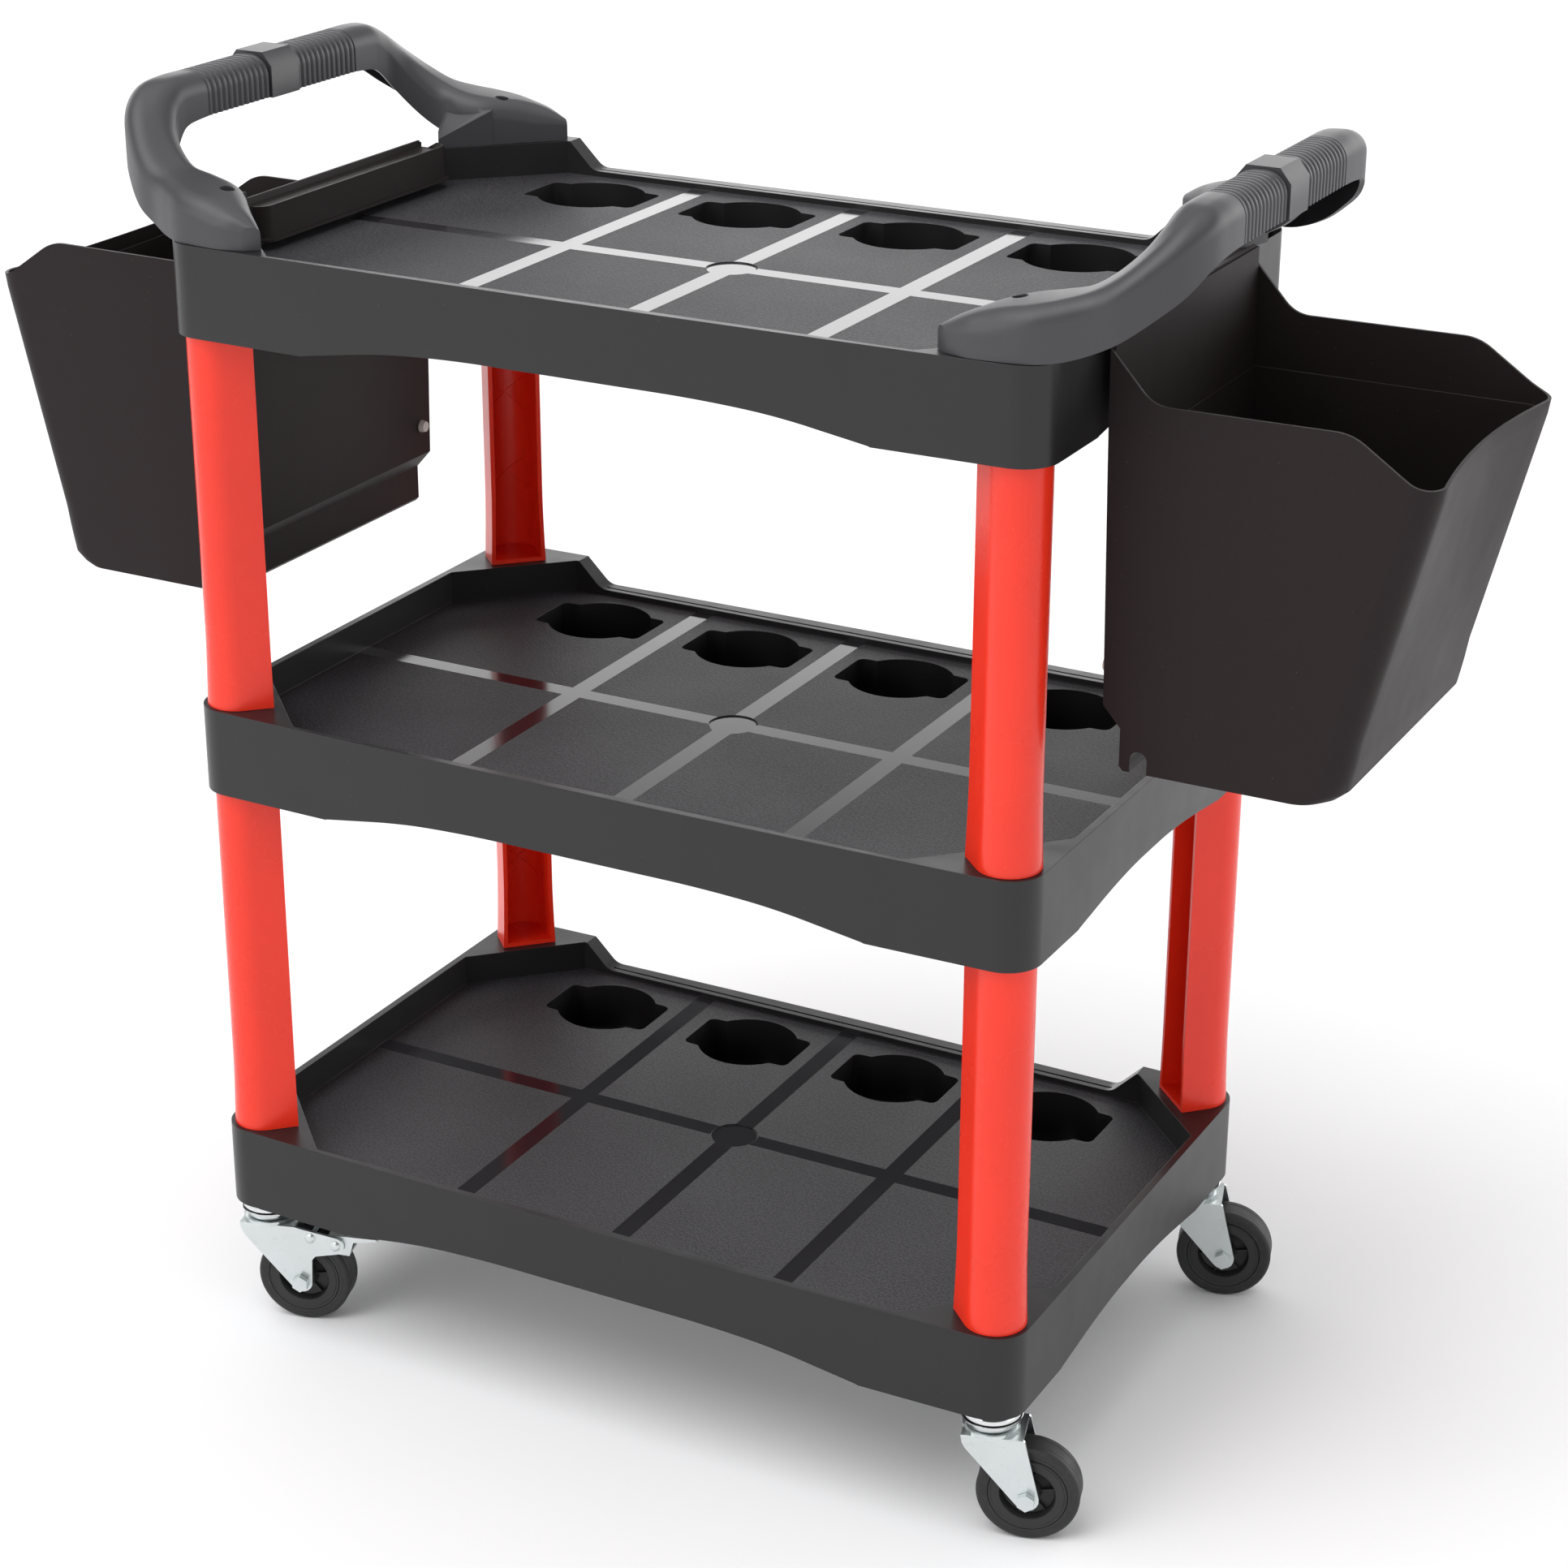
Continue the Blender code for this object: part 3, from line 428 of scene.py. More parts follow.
def plastic(name, colour, rough, grain, ripple=0.0, scuffs=0.06, level=0.4):
    """Moulded plastic: fine grain, slow sheen changes, faint scuffs and dust specks."""
    mat, tree, shader = new_material(name)
    where = node(tree, "TexCoord").outputs["Object"]
    slow = noise(tree, where, 7.0, 4.0, 0.6)
    fine = noise(tree, where, 1500.0, 2.0)
    lines = noise(tree, stretched(tree, where, (60.0, 900.0, 260.0)), 1.0, 2.0, 0.7)
    lines = spread(tree, lines, 0.0, 1.0, 0.66, 0.80)
    specks = node(tree, "TexVoronoi", {"Vector": where, "Scale": 90.0}).outputs["Distance"]
    specks = spread(tree, specks, 1.0, 0.0, 0.018, 0.045)
    tone = blend(tree, slow, shade(colour, 0.86), shade(colour, 1.14))
    tone = blend(tree, maths(tree, "MULTIPLY", lines, 0.10), tone, shade(colour, 2.2))
    tone = blend(tree, maths(tree, "MULTIPLY", specks, 0.16), tone, (0.30, 0.30, 0.31, 1.0))
    tree.links.new(tone, shader.inputs["Base Color"])
    gloss = spread(tree, slow, rough - 0.05, rough + 0.05, 0.3, 0.7)
    gloss = maths(tree, "ADD", gloss, maths(tree, "MULTIPLY", lines, scuffs))
    tree.links.new(gloss, shader.inputs["Roughness"])
    bump = node(tree, "Bump", {"Height": fine, "Strength": 0.55, "Distance": grain})
    if ripple:
        wide = noise(tree, where, 22.0, 1.0)
        keys = {"Height": wide, "Strength": 0.6, "Distance": ripple,
                "Normal": bump.outputs["Normal"]}
        bump = node(tree, "Bump", keys)
    tree.links.new(bump.outputs["Normal"], shader.inputs["Normal"])
    shader.inputs["Specular IOR Level"].default_value = level
    return mat


def tray_floor(name, colour):
    """Grained floor with smooth glossy strips and a smooth disc."""
    mat, tree, shader = new_material(name)
    where = node(tree, "TexCoord").outputs["Object"]
    split = node(tree, "SeparateXYZ", {"Vector": where})
    x = maths(tree, "ABSOLUTE", split.outputs["X"])
    y = maths(tree, "ABSOLUTE", split.outputs["Y"])
    off = maths(tree, "ABSOLUTE", maths(tree, "SUBTRACT", x, STRIP_PITCH))
    near = maths(tree, "MINIMUM", maths(tree, "MINIMUM", x, off), y)
    strip = maths(tree, "LESS_THAN", near, STRIP_HALF)
    squares = maths(tree, "ADD", maths(tree, "MULTIPLY", x, x), maths(tree, "MULTIPLY", y, y))
    reach = maths(tree, "SQRT", squares)
    disc = maths(tree, "LESS_THAN", reach, DISC_RADIUS - DISC_EDGE)
    smooth = maths(tree, "MAXIMUM", strip, disc)
    slow = noise(tree, where, 6.0, 4.0, 0.6)
    grain = node(tree, "TexVoronoi", {"Vector": where, "Scale": 900.0}).outputs["Distance"]
    fine = noise(tree, where, 1300.0, 3.0)
    lines = noise(tree, stretched(tree, where, (700.0, 50.0, 90.0)), 1.0, 2.0, 0.7)
    lines = spread(tree, lines, 0.0, 1.0, 0.66, 0.80)
    flecks = spread(tree, noise(tree, where, 520.0, 2.0), 0.0, 1.0, 0.35, 0.68)
    rough_tone = blend(tree, flecks, shade(colour, 0.40), shade(colour, 2.8))
    tone = blend(tree, smooth, rough_tone, shade(colour, 1.15))
    tone = blend(tree, maths(tree, "MULTIPLY", lines, 0.10), tone, shade(colour, 2.4))
    tree.links.new(tone, shader.inputs["Base Color"])
    matt = spread(tree, slow, 0.53, 0.61, 0.3, 0.7)
    sleek = spread(tree, slow, 0.09, 0.14, 0.3, 0.7)
    keys = {0: smooth, 2: matt, 3: sleek}
    gloss = node(tree, "Mix", keys, data_type="FLOAT").outputs[0]
    gloss = maths(tree, "ADD", gloss, maths(tree, "MULTIPLY", lines, 0.05))
    tree.links.new(gloss, shader.inputs["Roughness"])
    height = maths(tree, "ADD", fine, flecks)
    height = maths(tree, "ADD", height, maths(tree, "MULTIPLY", grain, 0.7))
    height = maths(tree, "MULTIPLY", height, spread(tree, smooth, 1.0, 0.03))
    bump = node(tree, "Bump", {"Height": height, "Strength": 0.7, "Distance": 0.00018})
    tree.links.new(bump.outputs["Normal"], shader.inputs["Normal"])
    return mat


def metal(name, colour, rough, brushed):
    """Plated steel with faint rolling lines, patches and small tarnish spots."""
    mat, tree, shader = new_material(name)
    where = node(tree, "TexCoord").outputs["Object"]
    slow = noise(tree, where, 35.0, 4.0, 0.6)
    lines = noise(tree, stretched(tree, where, (160.0, 160.0, 2400.0)), 1.0, 2.0)
    spots = spread(tree, noise(tree, where, 160.0, 3.0), 0.0, 1.0, 0.62, 0.74)
    tone = blend(tree, slow, shade(colour, 0.88), shade(colour, 1.08))
    tone = blend(tree, maths(tree, "MULTIPLY", spots, 0.25), tone, shade(colour, 0.62))
    tree.links.new(tone, shader.inputs["Base Color"])
    gloss = maths(tree, "ADD", spread(tree, slow, rough - 0.05, rough + 0.07, 0.3, 0.7),
                  maths(tree, "MULTIPLY", lines, 0.06))
    tree.links.new(gloss, shader.inputs["Roughness"])
    bump = node(tree, "Bump", {"Height": lines, "Strength": 0.3, "Distance": brushed})
    tree.links.new(bump.outputs["Normal"], shader.inputs["Normal"])
    shader.inputs["Metallic"].default_value = 1.0
    return mat


def rubber(name, colour):
    """Solid tyre: matt, a little dusty where it rolls."""
    mat, tree, shader = new_material(name)
    where = node(tree, "TexCoord").outputs["Object"]
    slow = noise(tree, where, 60.0, 4.0, 0.65)
    fine = noise(tree, where, 1800.0, 2.0)
    dust = spread(tree, noise(tree, where, 240.0, 5.0, 0.7), 0.0, 0.35, 0.52, 0.75)
    tone = blend(tree, slow, shade(colour, 0.8), shade(colour, 1.3))
    tone = blend(tree, dust, tone, (0.060, 0.058, 0.056, 1.0))
    tree.links.new(tone, shader.inputs["Base Color"])
    tree.links.new(spread(tree, slow, 0.48, 0.66, 0.3, 0.7), shader.inputs["Roughness"])
    bump = node(tree, "Bump", {"Height": fine, "Strength": 0.4, "Distance": 0.00015})
    tree.links.new(bump.outputs["Normal"], shader.inputs["Normal"])
    return mat


tray_black = plastic("tray_plastic", (0.0130, 0.0125, 0.0135, 1.0),
                     rough=0.34, grain=0.00008, ripple=0.0012)
tray_matt = tray_floor("tray_floor", (0.0160, 0.0148, 0.0178, 1.0))
handle_black = plastic("handle_plastic", (0.0400, 0.0385, 0.0430, 1.0),
                       rough=0.42, grain=0.00010, level=0.5)
bin_black = plastic("bin_plastic", (0.0170, 0.0122, 0.0128, 1.0),
                    rough=0.50, grain=0.00010, ripple=0.0008, level=0.14)
hub_black = plastic("hub_plastic", (0.0190, 0.0190, 0.0195, 1.0), rough=0.46, grain=0.00006)
leg_red = plastic("leg_plastic", (0.800, 0.0280, 0.0085, 1.0),
                  rough=0.28, grain=0.00003, ripple=0.0003, scuffs=0.03, level=0.45)
pale = plastic("bumper_plastic", (0.600, 0.560, 0.520, 1.0), rough=0.45, grain=0.00006)
zinc = metal("zinc_plate", (0.690, 0.735, 0.735, 1.0), rough=0.28, brushed=0.00004)
chrome = metal("bearing_chrome", (0.700, 0.715, 0.720, 1.0), rough=0.08, brushed=0.00001)
tyre_black = rubber("tyre_rubber", (0.0110, 0.0110, 0.0116, 1.0))


# ---- trays ---------------------------------------------------------------
def shelf_outline(inset):
    """Rounded rectangle whose long sides bow out a little at the middle."""
    radius = max(CORNER_RADIUS - inset, 0.002)
    cx, cy = HALF_LENGTH - CORNER_RADIUS, HALF_WIDTH - CORNER_RADIUS
    points = []
    for quarter, (sx, sy) in enumerate(((1, 1), (-1, 1), (-1, -1), (1, -1))):
        points += arc(sx * cx, sy * cy, radius, 90 * quarter, 90 * quarter + 90, 14)
        if quarter in (0, 2):
            for i in range(1, 20):
                x = sx * cx * (1.0 - i / 10.0)
                bow = SIDE_BOW * (1.0 - (x / cx) ** 2)
                points.append((x, sy * (HALF_WIDTH - inset + bow)))
    return points


def octagon(end_x, front_y, back_y, corner_sum):
    """Inside of the tray: a rectangle with its corners cut at 45 degrees."""
    points = []
    for sx, sy, y in ((1, 1, back_y), (-1, 1, back_y), (-1, -1, front_y), (1, -1, front_y)):
        side = (sx * end_x, sy * (corner_sum - end_x))
        edge = (sx * (corner_sum - y), sy * y)
        points += (side, edge) if sx * sy > 0 else (edge, side)
    return points


def pocket_outline(grow):
    """Circle with four small ears, one at each corner of a low rectangle."""
    radius = POCKET_RADIUS + grow
    ear = POCKET_EAR_RADIUS + grow
    ear_x, ear_y = POCKET_HALF_X - POCKET_EAR_RADIUS, POCKET_HALF_Y - POCKET_EAR_RADIUS
    meet_y = POCKET_HALF_Y + grow + POCKET_MEET_RISE
    meet = math.degrees(math.atan2(meet_y, POCKET_MEET_X + grow))
    quarter = arc(ear_x, ear_y, ear, 0, 90, 7)
    quarter += arc(0.0, 0.0, radius, meet, 90, 10)
    points = list(quarter)
    points += [(-x, y) for x, y in reversed(quarter[:-1])]
    points += [(-x, -y) for x, y in quarter]
    points += [(x, -y) for x, y in reversed(quarter[:-1])]
    return points


def pocket_at(index, grow):
    """The outline of one of the four bottle pockets, in its place."""
    across = CELL_PITCH * (index - 1.5)
    return [(x + across, y + POCKET_Y) for x, y in pocket_outline(grow)]


def skirt_arch(half, shoulder, flat, mid, floor):
    """Shallow arch along the lower edge of a skirt, as (across, z) pairs."""
    low = -SKIRT_CORNER
    bend = -mid - ARCH_SHOULDER_DROP
    chain = [(-half, low - PAST_FACE), (-half, low), (-shoulder, bend), (-flat, -mid),
             (flat, -mid), (shoulder, bend), (half, low), (half, low - PAST_FACE)]
    chain = softened(chain, ARCH_SOFTNESS, 8)
    return [(a, floor + z) for a, z in chain]


def make_tray(level):
    floor = FLOOR_Z[level]
    body = plate(level + "_tray", shelf_outline(0.0), floor - SKIRT_CORNER, floor + RIM_HEIGHT)
    inner_end = HALF_LENGTH - END_WALL
    inner_back = HALF_WIDTH - BACK_LIP_DEPTH
    tray = octagon(inner_end, HALF_WIDTH - WALL, inner_back, PLATFORM_SUM)
    body = cut(body, plate("tray", tray, floor, floor + PAST_RIM))

    lip = floor + BACK_LIP_HEIGHT
    foot_x = RAMP_TOP_X - (RIM_HEIGHT - BACK_LIP_HEIGHT)
    crest_x, crest = RAMP_TOP_X + RAMP_PAST, lip + RAMP_RISE
    ramp = softened([(-crest_x, crest), (-foot_x, lip), (foot_x, lip), (crest_x, crest)],
                    RAMP_SOFTNESS)
    body = cut(body, upright("ramp", ramp, inner_back - 0.001, PAST_SIDES))
    near, far = inner_back + LIP_GROOVE_IN, inner_back + LIP_GROOVE_OUT
    top, bottom = lip + PAST_FACE, lip - LIP_GROOVE_DEPTH
    groove = [(near, top), (near, bottom), (far, bottom), (far, top)]
    body = cut(body, upright("groove", groove, -foot_x + 0.002, foot_x - 0.002, along_x=True))

    under = plate("under", shelf_outline(WALL), floor - PAST_SKIRT, floor - FLOOR_THICKNESS)
    body = cut(body, under)
    edge = PLATFORM_SUM + PLATFORM_SKIN * 1.5
    roof = floor + RIM_HEIGHT - PLATFORM_SKIN
    quarter = [(edge - CORNER_Y - SOCKET_REACH, CORNER_Y + SOCKET_REACH),
               (CORNER_X + SOCKET_REACH, edge - CORNER_X - SOCKET_REACH)]
    quarter += arc(CORNER_X, CORNER_Y, CORNER_RADIUS - WALL, 0, 90, 14)
    for sx in (-1, 1):
        for sy in (-1, 1):
            socket = [(sx * x, sy * y) for x, y in quarter]
            body = cut(body, plate("socket", socket, floor - 0.02, roof))
    long_arch = skirt_arch(*LONG_ARCH, SKIRT_LONG_MID, floor)
    body = cut(body, upright("long_arch", long_arch, -PAST_SIDES, PAST_SIDES))
    end_arch = skirt_arch(*END_ARCH, SKIRT_END_MID, floor)
    body = cut(body, upright("end_arch", end_arch, -PAST_ENDS, PAST_ENDS, along_x=True))

    cup_floor = floor - POCKET_DEPTH
    for i in range(4):
        cup = plate("cup", pocket_at(i, POCKET_WALL), cup_floor - POCKET_WALL, floor - 0.0005)
        body = join(body, cup)
    for i in range(4):
        body = cut(body, plate("hole", pocket_at(i, 0.0), cup_floor, floor + PAST_FACE))
    body = cut(body, cylinder("disc", DISC_RADIUS, floor - DISC_DEPTH, floor + PAST_FACE, 72))

    finish(body, "cart", [level + "_shelf"], [tray_black, tray_matt], bevel=0.0007)
    for face in body.data.polygons:
        flat = face.normal.z > 0.99 and abs(face.center.z - floor) < DISC_DEPTH + 0.0001
        face.material_index = 1 if flat else 0
    return body


# ---- legs ----------------------------------------------------------------
def leg_ring(z, low, high, inset, mouth):
    """D-shaped section, its nose pointing along +X; flared near each end."""
    near = min(z - low, high - z)
    flare = max(0.0, 1.0 - near / LEG_FLARE)
    radius = LEG_WAIST + (LEG_RADIUS - LEG_WAIST) * flare ** LEG_FLARE_CURVE - inset
    points = [(mouth, -radius)] + arc(0, 0, radius, -90, 90, 24) + [(mouth, radius)]
    return [(x, y, z) for x, y in points]


def cross_rib(height, lean):
    """One thin stroke of the crossed ribs on the inside of a leg's nose."""
    wall = LEG_WAIST - LEG_WALL
    rings = []
    for i in range(9):
        share = i / 4.0 - 1.0
        angle = math.radians(CROSS_TURN * share)
        c, s = math.cos(angle), math.sin(angle)
        z = height + lean * CROSS_RISE * share
        section = ((wall + CROSS_ROOT, -CROSS_ROOT_HALF), (wall + CROSS_ROOT, CROSS_ROOT_HALF),
                   (wall - CROSS_PROUD, CROSS_CREST_HALF), (wall - CROSS_PROUD, -CROSS_CREST_HALF))
        rings.append([(r * c, r * s, z + rise) for r, rise in section])
    return lofted("cross_rib", rings)


def make_leg(tier, corner, sx, sy):
    name = tier + "_leg_" + corner
    box_low, box_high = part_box(name)
    low, high = box_low.z, box_high.z
    stops = [low + LEG_FLARE * i / 8 for i in range(9)]
    stops += [high - LEG_FLARE * (8 - i) / 8 for i in range(9)]
    leg = lofted("red_" + name, [leg_ring(z, low, high, 0.0, -LEG_INWARD) for z in stops])
    channel_stops = (low + LEG_WALL, low + LEG_FLARE, high - LEG_FLARE, high - LEG_WALL)
    mouth = -LEG_INWARD - PAST_FACE
    rings = [leg_ring(z, low, high, LEG_WALL, mouth) for z in channel_stops]
    leg = cut(leg, lofted("channel", rings))
    for k in range(CROSS_COUNT):
        for lean in (-1, 1):
            leg = join(leg, cross_rib(low + CROSS_PITCH * (k + 1), lean))
    place(leg, Matrix.Rotation(math.radians(45.0), 4, "Z"))
    place(leg, Matrix.Diagonal((sx, sy, 1.0, 1.0)))
    place(leg, Matrix.Translation((sx * CORNER_X, sy * CORNER_Y, 0.0)))
    finish(leg, "cart", [name], [leg_red])


# ---- handles -------------------------------------------------------------
def smooth_path(stops, count):
    """Catmull-Rom curve through the stops; each stop is a tuple of numbers."""
    points = []
    padded = [stops[0]] + list(stops) + [stops[-1]]
    for i in range(len(stops) - 1):
        a, b, c, d = padded[i:i + 4]
        for k in range(count):
            t = k / count
            value = []
            for p, q, r, s in zip(a, b, c, d):
                value.append(0.5 * (2 * q + (r - p) * t + (2 * p - 5 * q + 4 * r - s) * t * t
                                    + (3 * q - p - 3 * r + s) * t ** 3))
            points.append(tuple(value))
    points.append(tuple(stops[-1]))
    return points


def foot_stations(count):
    """From the tip of a foot to the end of the grip.

    Each stop gives the inner lower edge, the outer lower edge and the crest
    height; heights are measured from the top tray's floor.
    """
    rest = RIM_HEIGHT + GAP
    inner, outer = GRIP_X - GRIP_WIDTH / 2.0, GRIP_X + GRIP_WIDTH / 2.0
    side = GRIP_TOP - GRIP_SIDE
    stops = [
        (0.2590, 0.2022, rest, 0.2680, 0.2102, rest, 0.0420),
        (0.2700, 0.1915, rest, 0.2850, 0.2145, rest, 0.0500),
        (0.2870, 0.1749, rest, 0.3060, 0.2136, rest, 0.0570),
        (0.3050, 0.1574, rest, 0.3240, 0.2107, rest, 0.0605),
        (0.3260, 0.1518, rest, 0.3400, 0.2029, rest + 0.0010, 0.0640),
        (0.3440, 0.1528, 0.0340, 0.3560, 0.1941, 0.0310, 0.0690),
        (0.3580, 0.1498, 0.0430, 0.3740, 0.1868, 0.0395, 0.0790),
        (0.3700, 0.1440, 0.0555, 0.3906, 0.1745, 0.0520, 0.0925),
        (0.3775, 0.1350, 0.0690, 0.4058, 0.1585, 0.0660, 0.1070),
        (0.3800, 0.1250, 0.0800, 0.4154, 0.1385, 0.0810, 0.1155),
        (inner, 0.1150, side - 0.002, outer, 0.1160, side - 0.001, GRIP_TOP),
        (inner, RIB_END, side, outer, RIB_END, side, GRIP_TOP),
    ]
    stations = []
    for x0, y0, z0, x1, y1, z1, top in smooth_path(stops, count):
        stations.append((x0, y0, max(z0, rest), x1, y1, max(z1, rest), top))
    return stations


def grip_stations(step):
    """The straight ribbed grip, from its end to the middle, with a groove depth."""
    inner, outer = GRIP_X - GRIP_WIDTH / 2.0, GRIP_X + GRIP_WIDTH / 2.0
    side = GRIP_TOP - GRIP_SIDE
    stations = []
    y = RIB_END - step
    while y > BLOCK_HALF - BLOCK_OVERLAP:
        phase = (y - BLOCK_HALF) / (RIB_END - BLOCK_HALF) * RIB_COUNT
        groove = RIB_DEPTH * (0.5 + 0.5 * math.cos(2.0 * math.pi * phase)) ** 3
        stations.append(((inner, y, side, outer, y, side, GRIP_TOP), groove))
        y -= step
    return stations


def handle_ring(station, base, wall, sink):
    """Across the handle: up the inner side, over the crown, down the outer side."""
    x0, y0, z0, x1, y1, z1, top = station
    length = math.hypot(x1 - x0, y1 - y0)
    crown = min(GRIP_CROWN, CROWN_TO_HEIGHT * (top - max(z0, z1)), CROWN_TO_WIDTH * length)
    crown -= CROWN_TO_WALL * wall
    top -= wall
    flat = [(wall, z0 - sink)] + arc(wall + crown, top - crown, crown, 180, 90, 9)
    flat += arc(length - wall - crown, top - crown, crown, 90, 0, 9)
    flat.append((length - wall, z1 - sink))
    ux, uy = (x1 - x0) / length, (y1 - y0) / length
    return [(x0 + ux * n, y0 + uy * n, base + z) for n, z in flat]


def mirrored_loft(name, rings):
    rings = rings + [[(x, -y, z) for x, y, z in ring] for ring in reversed(rings)]
    return lofted(name, rings)


def make_toe(base, sy):
    """Low wedge of the foot that follows the platform's edge to the end wall."""
    corners = ((0.3315, 0.1287, 0.007), (0.3160, 0.1442, 0.017), (0.3010, 0.1592, 0.027),
               (0.3220, 0.1750, 0.030), (0.3430, 0.1590, 0.028), (0.3370, 0.1370, 0.011))
    bm = bmesh.new()
    low = base + RIM_HEIGHT + GAP
    for x, y, height in corners:
        bm.verts.new((x, sy * y, low))
        bm.verts.new((x, sy * y, low + height))
    bmesh.ops.convex_hull(bm, input=bm.verts)
    return from_bmesh("toe", bm)


def make_handle(side):
    sx = -1 if side == "left" else 1
    base = FLOOR_Z["top"]
    foot = foot_stations(6)
    rings = [handle_ring(s, base, 0.0, 0.0) for s in foot]
    rings += [handle_ring(s, base, groove, 0.0) for s, groove in grip_stations(GRIP_STEP)]
    handle = mirrored_loft("grip_handle_" + side, rings)
    half = GRIP_WIDTH / 2.0 + BLOCK_PROUD_X
    top = base + GRIP_TOP + BLOCK_PROUD_Z
    low = top - GRIP_SIDE - BLOCK_LOWER
    block = [(GRIP_X - half, low), (GRIP_X + half, low), (GRIP_X + half, top - BLOCK_CHAMFER_Z),
             (GRIP_X + half - BLOCK_CHAMFER_X, top), (GRIP_X - half + BLOCK_CHAMFER_X, top),
             (GRIP_X - half, top - BLOCK_CHAMFER_Z)]
    handle = join(handle, upright("block", block, -BLOCK_HALF, BLOCK_HALF))
    for sy in (-1, 1):
        handle = join(handle, make_toe(base, sy))
    coarse = foot_stations(3)[9:]
    inner = [handle_ring(s, base, HANDLE_WALL, 0.02) for s in coarse]
    hollow = mirrored_loft("hollow", inner)
    holes = [SCREW_AT["fr"], SCREW_AT["br"]]
    for spot in holes:
        place_at = (spot.x, spot.y)
        boss = cylinder("boss", HANDLE_BOSS_RADIUS, base - 0.02, base + 0.20, 32, place_at)
        hollow = cut(hollow, boss)
    handle = cut(handle, hollow)
    for spot in holes:
        low = base + RIM_HEIGHT + SCREW_BORE_FLOOR
        bore = cylinder("bore", SCREW_BORE_RADIUS, low, base + 0.10, 48, (spot.x, spot.y))
        handle = cut(handle, bore)
    if sx < 0:
        place(handle, Matrix.Diagonal((-1.0, 1.0, 1.0, 1.0)))
    finish(handle, "cart", ["handle_" + side], [handle_black], bevel=0.0009, angle=42.0)


# ---- bins ----------------------------------------------------------------
def bin_shell(name, wall):
    """Tapered box with rounded front corners; its front bows in near the rim.

    Each level gives a height from the top tray's floor, the back and the front
    from BIN_BACK_X, and the share of the bow.
    """
    raised = BIN_RAISED if wall else 0.0
    floor = FLOOR_Z["top"]
    levels = [
        (wall - 0.2662, max(0.0208, raised), 0.1570, 0.0),
        (wall - 0.2632, max(0.0178, raised), 0.1642, 0.0),
        (wall - 0.2572, max(0.0178, raised), 0.1715, 0.0),
        (-0.2482, max(0.0178, raised), 0.1734, 0.0),
        (-0.2479, 0.0178, 0.1735, 0.0),
        (-0.2365, 0.0178, 0.1757, 0.0),
        (-0.2222, 0.0050, 0.1780, 0.0),
        (-0.1500, 0.0034, 0.1954, 0.15),
        (-0.0552, 0.0012, 0.2182, 0.85),
        (-0.0548, 0.0012, 0.2183, 0.85),
        (-0.0300, 0.0007, 0.2220, 1.0),
        (0.0301 + 4.0 * wall, 0.0000, 0.2220, 1.0),
    ]
    rings = []
    for z, back, front, bow in levels:
        inset = wall - BIN_RIM_THINNING if wall and z > BIN_RIM_START else wall
        half, radius = BIN_HALF_Y - inset, BIN_CORNER - inset
        x0, x1 = BIN_BACK_X + back + inset, BIN_BACK_X + front - inset
        ring = [(x0, -half)] + arc(x1 - radius, radius - half, radius, -90, 0, 10)
        for k in range(1, 12):
            y = (half - radius) * (k / 6.0 - 1.0)
            dip = BIN_BOW * bow * (1.0 - (y / (half - radius)) ** 2)
            ring.append((x1 - dip, y))
        ring += arc(x1 - radius, half - radius, radius, 0, 90, 10) + [(x0, half)]
        rings.append([(x, y, floor + z) for x, y in ring])
    return lofted(name, rings, triangles=True)


def make_hook(x0, rest):
    """Trough-shaped hook over the shelf's end wall, its inner corners rounded in plan."""
    half, turn = BIN_HALF_Y - HOOK_INSET, HOOK_TURN
    rings = []
    steps = [half - turn * (1.0 - math.sin(math.radians(15.0 * i))) for i in range(7)]
    for y in [-v for v in reversed(steps)] + steps:
        past = max(0.0, abs(y) - (half - turn))
        inner = x0 - HOOK_REACH + turn - math.sqrt(turn * turn - past * past)
        lip, floor, low = rest + HOOK_LIP, rest + HOOK_FLOOR, rest - HOOK_DROP
        section = [(x0 + 0.0010, rest), (x0 + 0.0010, lip), (x0 - 0.0008, lip),
                   (x0 - 0.0020, floor), (inner + 0.0095, floor), (inner + 0.0014, lip),
                   (inner, lip), (inner, low + 0.0024), (inner - 0.0030, low + 0.0018),
                   (inner - 0.0030, low), (inner + 0.0022, low), (inner + 0.0022, rest)]
        rings.append([(x, y, z) for x, z in section])
    return lofted("hook", rings)


